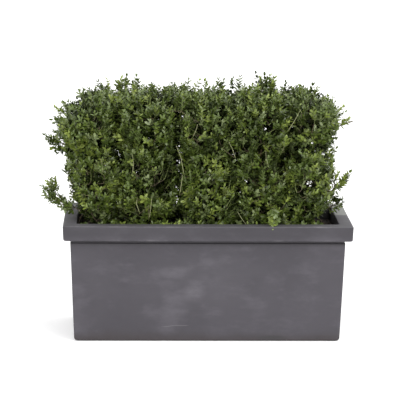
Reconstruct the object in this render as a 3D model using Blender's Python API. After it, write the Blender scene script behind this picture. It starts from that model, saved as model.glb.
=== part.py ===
"""Boxwood hedge of two bushes in a long trough planter.

The planter is one moulded trough with an overhanging rim band, filled with potting soil.  Each bush
has a short stem with a flared foot, a knuckle from which its boughs fan out inside a hollow heart,
and a crown of foliage masses round that hollow.  A few sprays stand out past the clipped outline.

Metres, +Z up.  The origin is the centre of the planter's underside, X runs along the trough and the
front looks along -Y.
"""

import math

import bmesh
import bpy
import numpy as np
from mathutils import Matrix, Vector, noise
from mathutils.bvhtree import BVHTree

for old in list(bpy.data.objects):
    bpy.data.objects.remove(old, do_unlink=True)

# ---------------------------------------------------------------- driving dimensions, in metres

FIT_GAP = 0.0003            # clearance between pieces that touch on the real plant

# the planter: sizes are (along X, along Y)
RIM_SIZE = np.array((1.000, 0.420))
PLANTER_HEIGHT = 0.415
RIM_BAND = 0.053            # height of the rim band
RIM_OVERHANG = 0.025        # how far the band stands out past the body under it
RIM_WIDTH = 0.047           # flat top of the rim, from outer edge to inner edge
RIM_DRAFT = 0.002           # the band narrows this much per side towards its lower edge
BODY_DRAFT = 0.0125         # the body narrows this much per side towards the floor
FLOOR_THICKNESS = 0.026
BASE_ROUND = 0.010          # rounding of the bottom edge
RIM_ROUND = 0.006           # rounding of the rim's upper edge
INNER_ROUND = 0.003         # rounding of the rim's inner edge
CORNER_ROUND = 0.009        # rounding of the upright corners
ARC_STEPS = 3

# the soil
SOIL_DEPTH = 0.045          # from the rim's top down to the soil

# a stem, with its foot on the soil
STEM_HEIGHT = 0.042
STEM_RADIUS = 0.017
STEM_FLARE = 0.011          # what the root flare adds at the foot
HEAD_RADIUS = 0.024         # the knuckle where the boughs part
STEM_LEAN = 0.006           # how far the foot stands to one side of the knuckle
STEM_SIDES = 12

# the boughs
BOUGH_RADIUS = 0.0058
BOUGH_TIP_RADIUS = 0.0040
BOUGH_SINK = 0.003          # how far a bough's foot reaches into the knuckle
LOW_BEND = (0.75, 0.15, 0.50)       # parts of its way along X, Y and Z where a low bough bends
TOP_BEND = (0.50, 0.50, 0.48)       # and a bough to the top
BOUGH_STATIONS = 5
FINE_STATIONS = 16          # stations of a bough's curve before it is cut to length
LIMB_SIDES = 8
SEAT_DEPTH = 0.014          # how far a limb reaches into the mass that it carries

# the foliage masses
LOW_SEED_HEIGHT = 0.505     # height of the lower masses' centres
TOP_SEED_HEIGHT = 0.745
LOW_SEED_OFFSET = 0.092     # how far in front of and behind the middle they lie
SEED_SHIFT = 0.014          # each centre is shifted by up to this much
CUBE_CUTS = 5               # a mass is a cube sphere with this many faces along an edge
SOFTNESS = 14.0             # larger is a crisper edge where two limits of a mass meet
UNEVEN = 0.035              # part of its reach by which a mass swells and sinks
UNEVEN_PITCH = 11.0         # swellings per metre
FREE_RISE = 0.080           # over this height above the rim the swellings come to their full size

# the crowns: ends along X of each bush's clipped outline, at its top and at its foot, and how boxy
# it is (a power of 2 is an ellipsoid, larger is boxier)
CROWN_FOOT = 0.374          # underside of the foliage, just clear of the soil
CROWN_TOP = 0.872
BUSHES = {
    "left": dict(top=(-0.552, -0.050), foot=(-0.435, -0.100), half_depth=0.206, power=3.6,
                 columns={"outer": -0.425, "inner": -0.200}, heart_width=0.120),
    "right": dict(top=(-0.125, 0.492), foot=(-0.130, 0.412), half_depth=0.210, power=4.5,
                  columns={"inner": 0.005, "middle": 0.185, "outer": 0.365}, heart_width=0.190),
}
FOOT_HALF_DEPTH = 0.158     # the foliage stands inside the trough at its foot
FLARE_POWER = 0.6           # under 1, a crown widens fastest just above its foot

# the hollow heart of a bush, in which its boughs fan out
HEART_HALF_DEPTH = 0.055
HEART_MIDDLE = 0.500
HEART_HALF_HEIGHT = 0.170

# the cleft between the two bushes, open to the front
CLEFT_MIDDLE = (-0.125, -0.215, 0.565)
CLEFT_HALF = (0.036, 0.120, 0.105)

# sprays that stand out: base and tip of each, and the half width of its leaves
SPRAYS = {
    "left_upper_spray": dict(base=(-0.492, -0.030, 0.668), tip=(-0.578, -0.045, 0.704), half=0.030),
    "left_low_spray": dict(base=(-0.440, -0.075, 0.440), tip=(-0.586, -0.090, 0.547), half=0.023),
    "right_low_spray": dict(base=(0.405, -0.060, 0.490), tip=(0.507, -0.070, 0.575), half=0.022),
    "right_foot_spray": dict(base=(0.415, -0.030, 0.445), tip=(0.492, -0.035, 0.474), half=0.019),
    "right_upper_spray": dict(base=(0.452, -0.030, 0.735), tip=(0.509, -0.035, 0.758), half=0.011),
    "top_left_tuft": dict(base=(-0.290, 0.030, 0.845), tip=(-0.283, 0.035, 0.908), half=0.020),
    "top_right_tuft": dict(base=(0.205, 0.045, 0.850), tip=(0.212, 0.050, 0.912), half=0.026),
}
SPRAY_CLEAR = 0.020         # bare twig between a mass and a spray's leaves
SPRAY_CUTS = 3
SPRAY_UNEVEN = 0.12         # part of its size by which a spray's leaves swell and sink
TWIG_RADIUS = 0.0024
TWIG_STATIONS = 3

# worked out from the sizes above
RIM_UNDERSIDE = PLANTER_HEIGHT - RIM_BAND
SOIL_TOP = PLANTER_HEIGHT - SOIL_DEPTH
BODY_TOP_SIZE = RIM_SIZE - 2 * RIM_OVERHANG
BODY_BASE_SIZE = BODY_TOP_SIZE - 2 * BODY_DRAFT
MOUTH_SIZE = RIM_SIZE - 2 * RIM_WIDTH
WALL = RIM_WIDTH - RIM_OVERHANG
FLOOR_SIZE = BODY_BASE_SIZE - 2 * WALL
HEAD_HEIGHT = SOIL_TOP + FIT_GAP + STEM_HEIGHT + HEAD_RADIUS * 0.6


# ---------------------------------------------------------------- materials and mesh helpers

def plain_material(name, colour, roughness):
    """A Principled material of one colour."""
    material = bpy.data.materials.new(name)
    material.use_nodes = True
    shader = material.node_tree.nodes["Principled BSDF"]
    shader.inputs["Base Color"].default_value = (*colour, 1.0)
    shader.inputs["Roughness"].default_value = roughness
    shader.inputs["Metallic"].default_value = 0.0
    return material


CAST_CLAY = plain_material("cast_clay", (0.120, 0.113, 0.132), 0.72)
SOIL = plain_material("potting_soil", (0.030, 0.020, 0.013), 0.95)
BARK = plain_material("bark", (0.160, 0.125, 0.080), 0.85)
LEAVES = plain_material("box_leaves", (0.045, 0.075, 0.020), 0.50)


def add_object(name, bm, material, smooth_angle=40.0):
    """Turn a bmesh into an object of its own, shaded smooth up to an angle in degrees."""
    bmesh.ops.recalc_face_normals(bm, faces=bm.faces[:])
    mesh = bpy.data.meshes.new(name)
    bm.to_mesh(mesh)
    bm.free()
    mesh.materials.append(material)
    mesh.shade_smooth()
    mesh.set_sharp_from_angle(angle=math.radians(smooth_angle))
    thing = bpy.data.objects.new(name, mesh)
    bpy.context.scene.collection.objects.link(thing)
    return thing


def skin_loops(bm, loops):
    """Join rings of equally many points into a closed solid with flat caps."""
    rings = [[bm.verts.new(point) for point in loop] for loop in loops]
    count = len(rings[0])
    for lower, upper in zip(rings, rings[1:]):
        for i in range(count):
            j = (i + 1) % count
            bm.faces.new((lower[i], lower[j], upper[j], upper[i]))
    bm.faces.new(list(reversed(rings[0])))
    bm.faces.new(rings[-1])


def rounded_rectangle(size, corner, height):
    """Points of a level rectangle with round corners, as one ring."""
    points = []
    for quarter in range(4):
        middle = quarter * math.pi / 2 + math.pi / 4
        sign_x = math.copysign(1.0, math.cos(middle))
        sign_y = math.copysign(1.0, math.sin(middle))
        centre = (sign_x * (size[0] / 2 - corner), sign_y * (size[1] / 2 - corner))
        for step in range(ARC_STEPS + 1):
            angle = quarter * math.pi / 2 + step * math.pi / 2 / ARC_STEPS
            points.append(Vector((centre[0] + corner * math.cos(angle),
                                  centre[1] + corner * math.sin(angle), height)))
    return points


def arc(radius, start, stop):
    """Points of an arc as (outwards, up) pairs, between two angles in degrees."""
    angles = np.radians(np.linspace(start, stop, ARC_STEPS + 1))
    return [(radius * math.cos(a), radius * math.sin(a)) for a in angles]


# ---------------------------------------------------------------- planter and soil

def build_planter():
    """The trough in one piece: body, rim band, inner walls and floor."""
    loops = []
    for out, up in arc(BASE_ROUND, -90, 0):
        size = BODY_BASE_SIZE - 2 * (BASE_ROUND - out)
        loops.append(rounded_rectangle(size, CORNER_ROUND, BASE_ROUND + up))
    loops.append(rounded_rectangle(BODY_TOP_SIZE, CORNER_ROUND, RIM_UNDERSIDE))
    rim_foot = RIM_SIZE - 2 * RIM_DRAFT
    loops.append(rounded_rectangle(rim_foot - INNER_ROUND, CORNER_ROUND, RIM_UNDERSIDE))
    loops.append(rounded_rectangle(rim_foot, CORNER_ROUND, RIM_UNDERSIDE + INNER_ROUND / 2))
    for out, up in arc(RIM_ROUND, 0, 90):
        size = RIM_SIZE - 2 * (RIM_ROUND - out)
        loops.append(rounded_rectangle(size, CORNER_ROUND, PLANTER_HEIGHT - RIM_ROUND + up))
    for out, up in arc(INNER_ROUND, 90, 180):
        size = MOUTH_SIZE + 2 * (INNER_ROUND + out)
        loops.append(rounded_rectangle(size, CORNER_ROUND, PLANTER_HEIGHT - INNER_ROUND + up))
    loops.append(rounded_rectangle(FLOOR_SIZE, CORNER_ROUND, FLOOR_THICKNESS))
    bm = bmesh.new()
    skin_loops(bm, loops)
    return add_object("planter", bm, CAST_CLAY, smooth_angle=35.0)


def build_soil():
    """Potting soil that fills the trough up to a little way under the rim."""
    inner_top = PLANTER_HEIGHT - INNER_ROUND
    loops = []
    for height in (FLOOR_THICKNESS + FIT_GAP, SOIL_TOP):
        share = (height - FLOOR_THICKNESS) / (inner_top - FLOOR_THICKNESS)
        size = FLOOR_SIZE + (MOUTH_SIZE - FLOOR_SIZE) * share - 2 * FIT_GAP
        loops.append(rounded_rectangle(size, CORNER_ROUND, height))
    bm = bmesh.new()
    skin_loops(bm, loops)
    return add_object("soil", bm, SOIL)


# ---------------------------------------------------------------- limbs

def limb_mesh(path, radii, swell=0.0):
    """A tapering limb along a path, as a bmesh with flat ends square to the path."""
    bm = bmesh.new()
    loops = []
    previous_side = None
    for i, point in enumerate(path):
        before = path[max(i - 1, 0)]
        after = path[min(i + 1, len(path) - 1)]
        along = (after - before).normalized()
        side = previous_side or along.orthogonal()
        side = (side - along * side.dot(along)).normalized()
        previous_side = side
        across = along.cross(side)
        centre = point
        if i == 0:
            centre = point - along * swell
        elif i == len(path) - 1:
            centre = point + along * swell
        ring = []
        for k in range(LIMB_SIDES):
            angle = 2 * math.pi * k / LIMB_SIDES
            ring.append(centre + (side * math.cos(angle) + across * math.sin(angle)) * (radii[i] + swell))
        loops.append(ring)
    skin_loops(bm, loops)
    return bm


def bent_path(start, control, end, stations):
    """A path through evenly spaced stations of a quadratic curve."""
    path = []
    for t in np.linspace(0.0, 1.0, stations):
        path.append(start * (1 - t) ** 2 + control * (2 * t * (1 - t)) + end * t ** 2)
    return path


def cut_path_inside(path, solid):
    """Shorten a path so that it ends SEAT_DEPTH past the place where it enters a solid."""
    tree = BVHTree.FromObject(solid, bpy.context.evaluated_depsgraph_get())
    for i in range(len(path) - 1):
        step = path[i + 1] - path[i]
        hit = tree.ray_cast(path[i], step.normalized(), step.length)[0]
        if hit is not None:
            return path[:i + 1] + [hit + step.normalized() * SEAT_DEPTH]
    return path


def resample(path, stations):
    """The same route with evenly spaced stations."""
    points = np.array([tuple(p) for p in path])
    lengths = np.concatenate(([0.0], np.cumsum(np.linalg.norm(np.diff(points, axis=0), axis=1))))
    wanted = np.linspace(0.0, lengths[-1], stations)
    return [Vector([float(np.interp(w, lengths, points[:, k])) for k in range(3)]) for w in wanted]


def build_limb(name, path, radii):
    """A bough or a twig as an object of its own."""
    return add_object(name, limb_mesh(path, radii), BARK, smooth_angle=60.0)


def carve_seat(carrier, path, radii):
    """Cut the seat of a limb into a mass or a stem, wider than the limb by the fitting gap."""
    cutter = add_object("seat_cutter", limb_mesh(path, radii, swell=FIT_GAP), BARK)
    cut = carrier.modifiers.new("seat", "BOOLEAN")
    cut.operation = "DIFFERENCE"
    cut.solver = "EXACT"
    cut.object = cutter
    whole = carrier.evaluated_get(bpy.context.evaluated_depsgraph_get())
    carved = bpy.data.meshes.new_from_object(whole)
    carrier.modifiers.remove(cut)
    carrier.data = carved
    bpy.data.objects.remove(cutter, do_unlink=True)


# ---------------------------------------------------------------- foliage masses

def cube_sphere(cuts):
    """A sphere of quads made from a cube, as a bmesh with unit radius."""
    bm = bmesh.new()
    bmesh.ops.create_cube(bm, size=2.0)
    bmesh.ops.subdivide_edges(bm, edges=bm.edges[:], cuts=cuts - 1, use_grid_fill=True)
    for vertex in bm.verts:
        vertex.co = Vector([math.tan(c * math.pi / 4) for c in vertex.co]).normalized()
    return bm


def crown_value(bush, point):
    """Under 1 inside a bush's clipped outline, which narrows towards its foot."""
    rise = (point.z - CROWN_FOOT) / (CROWN_TOP - CROWN_FOOT)
    share = min(max(rise, 0.0), 1.0) ** FLARE_POWER
    low, high = [f + (t - f) * share for f, t in zip(bush["foot"], bush["top"])]
    half_depth = FOOT_HALF_DEPTH + (bush["half_depth"] - FOOT_HALF_DEPTH) * share
    x = (point.x - (low + high) / 2) / ((high - low) / 2)
    y = point.y / half_depth
    z = 2 * rise - 1
    power = bush["power"]
    return (abs(x) ** power + abs(y) ** power + abs(z) ** power) ** (1 / power)


def crown_reach(bush, seed, direction):
    """How far it is from a centre to the bush's outline, with its swellings."""
    near, far = 0.0, 1.0
    while far - near > 1e-7:
        middle = (near + far) / 2
        if crown_value(bush, seed + direction * middle) < 1.0:
            near = middle
        else:
            far = middle
    place = (seed + direction * near) * UNEVEN_PITCH
    swell = noise.noise(place) + 0.5 * noise.noise(place * 2.3)
    surface_height = seed.z + direction.z * near
    freedom = min(max((surface_height - PLANTER_HEIGHT) / FREE_RISE, 0.0), 1.0)
    return near * (1 - UNEVEN + UNEVEN * 2 * swell * freedom)


def plane_reach(seed, direction, neighbour):
    """How far it is to the plane half way to a neighbouring centre."""
    apart = neighbour - seed
    towards = direction.dot(apart.normalized())
    if towards <= 1e-6:
        return math.inf
    return (apart.length / 2 - FIT_GAP) / towards


def hollow_reach(seed, direction, middle, half):
    """How far it is to an ellipsoidal hollow, or infinity where the way misses it."""
    start = Vector([(seed[k] - middle[k]) / half[k] for k in range(3)])
    way = Vector([direction[k] / half[k] for k in range(3)])
    a = way.dot(way)
    b = start.dot(way)
    c = start.dot(start) - 1.0
    root = b * b - a * c
    if root <= 0 or b >= 0:
        return math.inf
    return (-b - math.sqrt(root)) / a


def build_mass(name, bush, seed, neighbours, hollows):
    """One mass: it reaches to the outline, to its neighbours or to a hollow, whichever is nearer."""
    bm = cube_sphere(CUBE_CUTS)
    for vertex in bm.verts:
        direction = vertex.co.normalized()
        limits = [crown_reach(bush, seed, direction)]
        limits += [plane_reach(seed, direction, other) for other in neighbours]
        limits += [hollow_reach(seed, direction, *hollow) for hollow in hollows]
        reach = sum(limit ** -SOFTNESS for limit in limits) ** (-1 / SOFTNESS)
        vertex.co = seed + direction * reach
    return add_object(name, bm, LEAVES, smooth_angle=70.0)


def build_spray_mass(name, centre, along, half_length, half_width):
    """The leaves of one spray: a long uneven lump round its twig."""
    turn = along.to_track_quat("Z", "Y").to_matrix().to_4x4()
    bm = cube_sphere(SPRAY_CUTS)
    for vertex in bm.verts:
        vertex.co *= 1 + SPRAY_UNEVEN * noise.noise(vertex.co * 1.7 + centre * 30)
    shape = Matrix.Diagonal((half_width, half_width, half_length, 1.0))
    bmesh.ops.transform(bm, matrix=Matrix.Translation(centre) @ turn @ shape, verts=bm.verts)
    return add_object(name, bm, LEAVES, smooth_angle=70.0)


# ---------------------------------------------------------------- assembly

def mass_seeds():
    """The centre of every foliage mass, by bush, column and layer."""
    shift = np.random.default_rng(7)
    layers = {"low_front": (-LOW_SEED_OFFSET, LOW_SEED_HEIGHT),
              "low_back": (LOW_SEED_OFFSET, LOW_SEED_HEIGHT),
              "top": (0.0, TOP_SEED_HEIGHT)}
    seeds = {}
    for side, bush in BUSHES.items():
        for column, x in bush["columns"].items():
            for layer, (y, z) in layers.items():
                move = Vector(shift.uniform(-SEED_SHIFT, SEED_SHIFT, 3))
                seeds[side, column, layer] = Vector((x, y, z)) + move
    return seeds


def build_stem(side, x):
    """A short leaning stem: root flare, shaft and the round knuckle where the boughs part."""
    foot = SOIL_TOP + FIT_GAP
    profile = [(0.00, STEM_RADIUS + STEM_FLARE), (0.10, STEM_RADIUS + 0.55 * STEM_FLARE),
               (0.30, STEM_RADIUS + 0.15 * STEM_FLARE), (0.75, STEM_RADIUS)]
    path = []
    radii = []
    for share, radius in profile:
        path.append(Vector((x - STEM_LEAN * (1 - share), 0.0, foot + share * STEM_HEIGHT)))
        radii.append(radius)
    for angle in np.radians((-25, 5, 35, 62, 82)):
        path.append(Vector((x, 0.0, HEAD_HEIGHT + HEAD_RADIUS * math.sin(angle))))
        radii.append(HEAD_RADIUS * math.cos(angle))
    bm = bmesh.new()
    loops = []
    for centre, radius in zip(path, radii):
        loops.append([centre + Vector((radius * math.cos(a), radius * math.sin(a), 0.0))
                      for a in np.linspace(0, 2 * math.pi, STEM_SIDES, endpoint=False)])
    skin_loops(bm, loops)
    return add_object(f"{side}_stem", bm, BARK, smooth_angle=60.0)


def build_bough(name, stem, head, seed, mass):
    """A bough from the stem's knuckle up through the hollow heart into its mass."""
    way = seed - head
    outward = Vector((way.x, way.y, 0.7 * way.z)).normalized()
    start = head + outward * (HEAD_RADIUS - BOUGH_SINK)
    bend = TOP_BEND if seed.z > (LOW_SEED_HEIGHT + TOP_SEED_HEIGHT) / 2 else LOW_BEND
    control = head + Vector([w * b for w, b in zip(way, bend)])
    whole = bent_path(start, control, seed, FINE_STATIONS)
    path = resample(cut_path_inside(whole, mass), BOUGH_STATIONS)
    radii = np.linspace(BOUGH_RADIUS, BOUGH_TIP_RADIUS, BOUGH_STATIONS)
    carve_seat(stem, path, radii)
    carve_seat(mass, path, radii)
    return build_limb(name, path, radii)


def build_spray(name, spray, masses):
    """A spray: the leafy end and the bare twig that seats it on the nearest mass."""
    base = Vector(spray["base"])
    tip = Vector(spray["tip"])
    along = (tip - base).normalized()
    owner = min(masses, key=lambda key: (masses[key][1] - base).length)
    tree = BVHTree.FromObject(masses[owner][0], bpy.context.evaluated_depsgraph_get())
    surface = tree.ray_cast(tip, -along)[0]
    half_length = ((tip - surface).length - SPRAY_CLEAR) / 2
    centre = tip - along * half_length
    leaves = build_spray_mass(f"{name}_mass", centre, along, half_length, spray["half"])
    path = resample([base, tip - along * (2 * half_length - SEAT_DEPTH)], TWIG_STATIONS)
    radii = [TWIG_RADIUS] * TWIG_STATIONS
    carve_seat(masses[owner][0], path, radii)
    carve_seat(leaves, path, radii)
    return build_limb(f"{name}_twig", path, radii)


build_planter()
build_soil()
seeds = mass_seeds()
cleft = (CLEFT_MIDDLE, CLEFT_HALF)
masses = {}
for side, bush in BUSHES.items():
    middle_x = sum(bush["columns"].values()) / len(bush["columns"])
    heart = ((middle_x, 0.0, HEART_MIDDLE), (bush["heart_width"], HEART_HALF_DEPTH, HEART_HALF_HEIGHT))
    head = Vector((middle_x, 0.0, HEAD_HEIGHT))
    stem = build_stem(side, middle_x)
    for key in [key for key in seeds if key[0] == side]:
        others = [seeds[other] for other in seeds if other != key]
        label = "_".join(key)
        mass = build_mass(f"{label}_mass", bush, seeds[key], others, (heart, cleft))
        masses[key] = (mass, seeds[key])
        build_bough(f"{label}_bough", stem, head, seeds[key], mass)
for name, spray in SPRAYS.items():
    build_spray(name, spray, masses)
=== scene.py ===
# %% [markdown]
# # A boxwood hedge in a long trough
#
# Two box bushes grow side by side in a cast fibre-clay trough and are clipped as one block. Box has
# small oval leaves in pairs, each pair at a right angle to the next, on short shoots, so the hedge is
# a shell of many thousand leaves round a bare heart of twigs. This lesson grows it from the frame:
# first the trough and its soil, then the bark of the limbs, then twigs that branch on from the limbs,
# and at last the leaves, which Geometry Nodes place on the shoots.

# %% Load the frame
import itertools
import math

import bmesh
import bpy
import numpy as np
from mathutils import Matrix, Vector, noise
from mathutils.bvhtree import BVHTree


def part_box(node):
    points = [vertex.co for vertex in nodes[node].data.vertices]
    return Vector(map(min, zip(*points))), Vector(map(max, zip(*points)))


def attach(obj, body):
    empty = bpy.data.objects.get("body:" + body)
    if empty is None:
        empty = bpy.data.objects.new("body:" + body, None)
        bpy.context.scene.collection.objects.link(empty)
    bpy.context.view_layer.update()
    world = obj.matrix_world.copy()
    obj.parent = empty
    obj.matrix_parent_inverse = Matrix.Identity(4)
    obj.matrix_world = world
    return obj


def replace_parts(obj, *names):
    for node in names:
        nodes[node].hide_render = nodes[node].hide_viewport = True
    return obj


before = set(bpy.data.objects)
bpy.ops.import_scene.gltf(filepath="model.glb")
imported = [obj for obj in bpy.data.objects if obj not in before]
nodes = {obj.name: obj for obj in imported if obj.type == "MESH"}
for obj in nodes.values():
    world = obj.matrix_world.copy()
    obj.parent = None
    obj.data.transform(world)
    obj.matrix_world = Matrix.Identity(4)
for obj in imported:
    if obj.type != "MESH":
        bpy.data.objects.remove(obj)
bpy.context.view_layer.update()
print("CAD nodes:", len(nodes))

# %% [markdown]
# The camera is a long lens a good way off, a little above the hedge and a little to its left, which
# keeps the trough's long edges nearly parallel. Yaw, pitch and roll are turned into one matrix: first
# the roll about the line of sight, then the tilt, then the turn about the upright axis.

# %% Camera
FOCAL_LENGTH = 183.3            # millimetres, on a sensor 36 mm wide
CAMERA_PLACE = Vector((-0.258, -7.030, 1.848))
CAMERA_YAW, CAMERA_PITCH, CAMERA_ROLL = 1.91, 11.104, 0.56      # degrees

lens = bpy.data.cameras.new("camera")
lens.lens = FOCAL_LENGTH
lens.sensor_width = 36.0
lens.clip_end = 60.0
camera = bpy.data.objects.new("camera", lens)
turn = Matrix.Rotation(math.radians(-CAMERA_YAW), 4, "Z")
tilt = Matrix.Rotation(math.radians(90 - CAMERA_PITCH), 4, "X")
roll = Matrix.Rotation(math.radians(CAMERA_ROLL), 4, "Z")
camera.matrix_world = Matrix.Translation(CAMERA_PLACE) @ turn @ tilt @ roll
bpy.context.scene.collection.objects.link(camera)
bpy.context.scene.camera = camera
print("camera looks down", CAMERA_PITCH, "degrees")

# %% [markdown]
# The studio is a white room: a pale floor, an even white surround that fills the shadows, and two
# wide windows, a strong one high on the right and a weaker one in front on the left. Windows far off
# light the floor evenly to the horizon, and the floor glows a little, like the paper sweep of a studio
# that is lit from all round. The Standard view keeps the colours as they are mixed.

# %% Studio
bpy.context.scene.view_settings.view_transform = "Standard"
WHITE = (1.0, 1.0, 1.0, 1.0)
SURROUND_STRENGTH = 0.90
FLOOR_COLOUR, FLOOR_ROUGHNESS, FLOOR_GLOW = (0.88, 0.88, 0.88), 0.8, 0.18
FLOOR_HALF = 30.0
WINDOWS = {  # the direction each stands in, its strength and the angle in degrees that it fills
    "side_window": ((0.62, -0.30, 0.95), 1.85, 60), "front_window": ((-0.36, -0.95, 0.76), 1.30, 52)}

world = bpy.data.worlds.new("white_room")
bpy.context.scene.world = world
world.use_nodes = True
background = world.node_tree.nodes["Background"]
background.inputs["Color"].default_value = WHITE
background.inputs["Strength"].default_value = SURROUND_STRENGTH
for name, (direction, strength, width) in WINDOWS.items():
    light = bpy.data.lights.new(name, "SUN")
    light.energy = strength
    light.angle = math.radians(width)
    window = bpy.data.objects.new(name, light)
    window.rotation_euler = Vector(direction).to_track_quat("Z", "Y").to_euler()
    bpy.context.scene.collection.objects.link(window)

floor_mesh = bpy.data.meshes.new("floor")
floor_corners = [(x * FLOOR_HALF, y * FLOOR_HALF, 0) for x, y in ((-1, -1), (1, -1), (1, 1), (-1, 1))]
floor_mesh.from_pydata(floor_corners, [], [(0, 1, 2, 3)])
floor_finish = bpy.data.materials.new("floor")
floor_finish.use_nodes = True
floor_shader = floor_finish.node_tree.nodes["Principled BSDF"]
floor_shader.inputs["Base Color"].default_value = (*FLOOR_COLOUR, 1)
floor_shader.inputs["Roughness"].default_value = FLOOR_ROUGHNESS
floor_shader.inputs["Emission Color"].default_value = WHITE
floor_shader.inputs["Emission Strength"].default_value = FLOOR_GLOW
floor_mesh.materials.append(floor_finish)
floor = bpy.data.objects.new("floor", floor_mesh)
bpy.context.scene.collection.objects.link(floor)
print("surround", SURROUND_STRENGTH, "with", len(WINDOWS), "windows")

# %% [markdown]
# Node trees are easier to read as sums than as links. `Value` wraps one socket, and its operators add
# Math nodes, so `1 - mask * 0.3` builds three nodes. `Graph` adds every other kind of node with one
# method. The same two classes serve the materials and the Geometry Nodes trees below.


# %% A small language for node trees
class Value:
    """A socket that takes part in sums."""

    def __init__(self, graph, socket):
        self.graph = graph
        self.socket = socket

    def maths(self, operation, *terms):
        return self.graph.node("ShaderNodeMath", {"operation": operation}, dict(enumerate(terms)))

    def __add__(self, other):
        return self.maths("ADD", self, other)

    __radd__ = __add__

    def __sub__(self, other):
        return self.maths("SUBTRACT", self, other)

    def __rsub__(self, other):
        return self.maths("SUBTRACT", other, self)

    def __mul__(self, other):
        return self.maths("MULTIPLY", self, other)

    __rmul__ = __mul__

    def __abs__(self):
        return self.maths("ABSOLUTE", self)

    def __pow__(self, power):
        return self.maths("POWER", self, power)


def input_of(node, key):
    """A node's input by its place or by its identifier."""
    if isinstance(key, int):
        return node.inputs[key]
    return next(socket for socket in node.inputs if socket.identifier == key)


class Graph:
    """A node tree, shader or geometry, built by calls."""

    def __init__(self, tree):
        self.tree = tree

    def node(self, kind, settings=None, inputs=None, output=0):
        """Add a node: first its settings, then its inputs as values or as links from other Values."""
        new = self.tree.nodes.new(kind)
        settings = dict(settings or {})
        stops = settings.pop("stops", None)
        for name, setting in settings.items():
            setattr(new, name, setting)
        if stops:
            for extra in range(len(stops) - len(new.color_ramp.elements)):
                new.color_ramp.elements.new(1.0)
            for element, (position, colour) in zip(new.color_ramp.elements, stops):
                element.position = position
                element.color = (*colour, 1.0)
        for name, given in (inputs or {}).items():
            socket = input_of(new, name)
            if isinstance(given, Value):
                self.tree.links.new(given.socket, socket)
            elif given is not None:
                socket.default_value = given
        return Value(self, new.outputs[output])

    def many(self, kind, settings, inputs, outputs):
        """The same, for a node whose several outputs are wanted."""
        first = self.node(kind, settings, inputs, outputs[0])
        owner = first.socket.node
        return [first] + [Value(self, owner.outputs[name]) for name in outputs[1:]]

    def blend(self, factor, colour_a, colour_b, how="MIX"):
        """Mix two colours."""
        mixer = self.tree.nodes.new("ShaderNodeMix")
        mixer.data_type = "RGBA"
        mixer.blend_type = how
        for socket, given in ((mixer.inputs[0], factor), (mixer.inputs[6], colour_a),
                              (mixer.inputs[7], colour_b)):
            if isinstance(given, Value):
                self.tree.links.new(given.socket, socket)
            elif isinstance(given, tuple):
                socket.default_value = (*given, 1.0)
            else:
                socket.default_value = given
        return Value(self, mixer.outputs[2])

    def ramp(self, value, low, high):
        """0 under low, 1 over high, with a smooth step between."""
        settings = {"interpolation_type": "SMOOTHSTEP", "clamp": True}
        return self.node("ShaderNodeMapRange", settings, {0: value, 1: low, 2: high, 3: 0.0, 4: 1.0})

    def cloud(self, coordinates, scale, detail=3.0, roughness=0.5):
        """Noise from 0 to 1, coarse or fine by its scale."""
        return self.node("ShaderNodeTexNoise", None, {"Vector": coordinates, "Scale": scale,
                                                      "Detail": detail, "Roughness": roughness})

    def stretched(self, coordinates, factors):
        """The same coordinates, scaled along each axis."""
        return self.node("ShaderNodeVectorMath", {"operation": "MULTIPLY"}, {0: coordinates, 1: factors})

    def feed(self, shader, name, value):
        """Link a value to a shader's socket."""
        self.tree.links.new(value.socket, shader.inputs[name])

    def relief(self, shader, height, strength, distance):
        """Bump a surface by a height."""
        bump = self.node("ShaderNodeBump", None, {"Strength": strength, "Distance": distance,
                                                  "Height": height})
        self.feed(shader, "Normal", bump)


def new_finish(name, roughness, **fixed):
    """A material with its Principled shader, whose unchanging values are set on its own sockets."""
    material = bpy.data.materials.new(name)
    material.use_nodes = True
    shader = material.node_tree.nodes["Principled BSDF"]
    shader.inputs["Roughness"].default_value = roughness
    for socket, value in fixed.items():
        shader.inputs[socket.replace("_", " ")].default_value = value
    return material, shader, Graph(material.node_tree)


def linear(red, green, blue):
    """A colour from 0 to 255 as displayed, as the linear values that shaders take."""
    return tuple(round(((c / 255 + 0.055) / 1.055) ** 2.4, 4) for c in (red, green, blue))


print("middle grey in a shader:", linear(128, 128, 128))

# %% [markdown]
# ## The trough
#
# The real planter is cast in one piece from clay, resin and glass fibre, so its faces are flat but its
# edges are soft, its long sides wander by a fraction of a millimetre, and its floor rim is worn. A box
# with a Bevel would be too perfect. Here it is lofted: rings of points with rounded corners, one above
# the other, each ring a little out of true, joined into one closed skin with an inside and an outside.

# %% Rings of the trough
PLANTER_LOW, PLANTER_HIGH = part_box("planter")
RIM_SIZE = np.array((PLANTER_HIGH.x - PLANTER_LOW.x, PLANTER_HIGH.y - PLANTER_LOW.y))
PLANTER_HEIGHT = PLANTER_HIGH.z
RIM_BAND, RIM_OVERHANG, RIM_WIDTH, RIM_DRAFT = 0.053, 0.025, 0.047, 0.002
BODY_DRAFT, FLOOR_THICKNESS = 0.0125, 0.026
BASE_ROUND, RIM_ROUND, UNDER_ROUND, INNER_ROUND, CORNER_ROUND = 0.011, 0.005, 0.005, 0.003, 0.010
GROOVE_HEIGHT, GROOVE_DEPTH = 0.0125, 0.003     # a drip groove right under the rim
RING_STEPS = (40, 18)           # points along a long side and along a short one
CORNER_STEPS = 6
CASTING_WANDER = 0.0007         # how far the casting strays from true
noise.seed_set(7)               # noise vectors would differ from run to run without it


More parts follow.
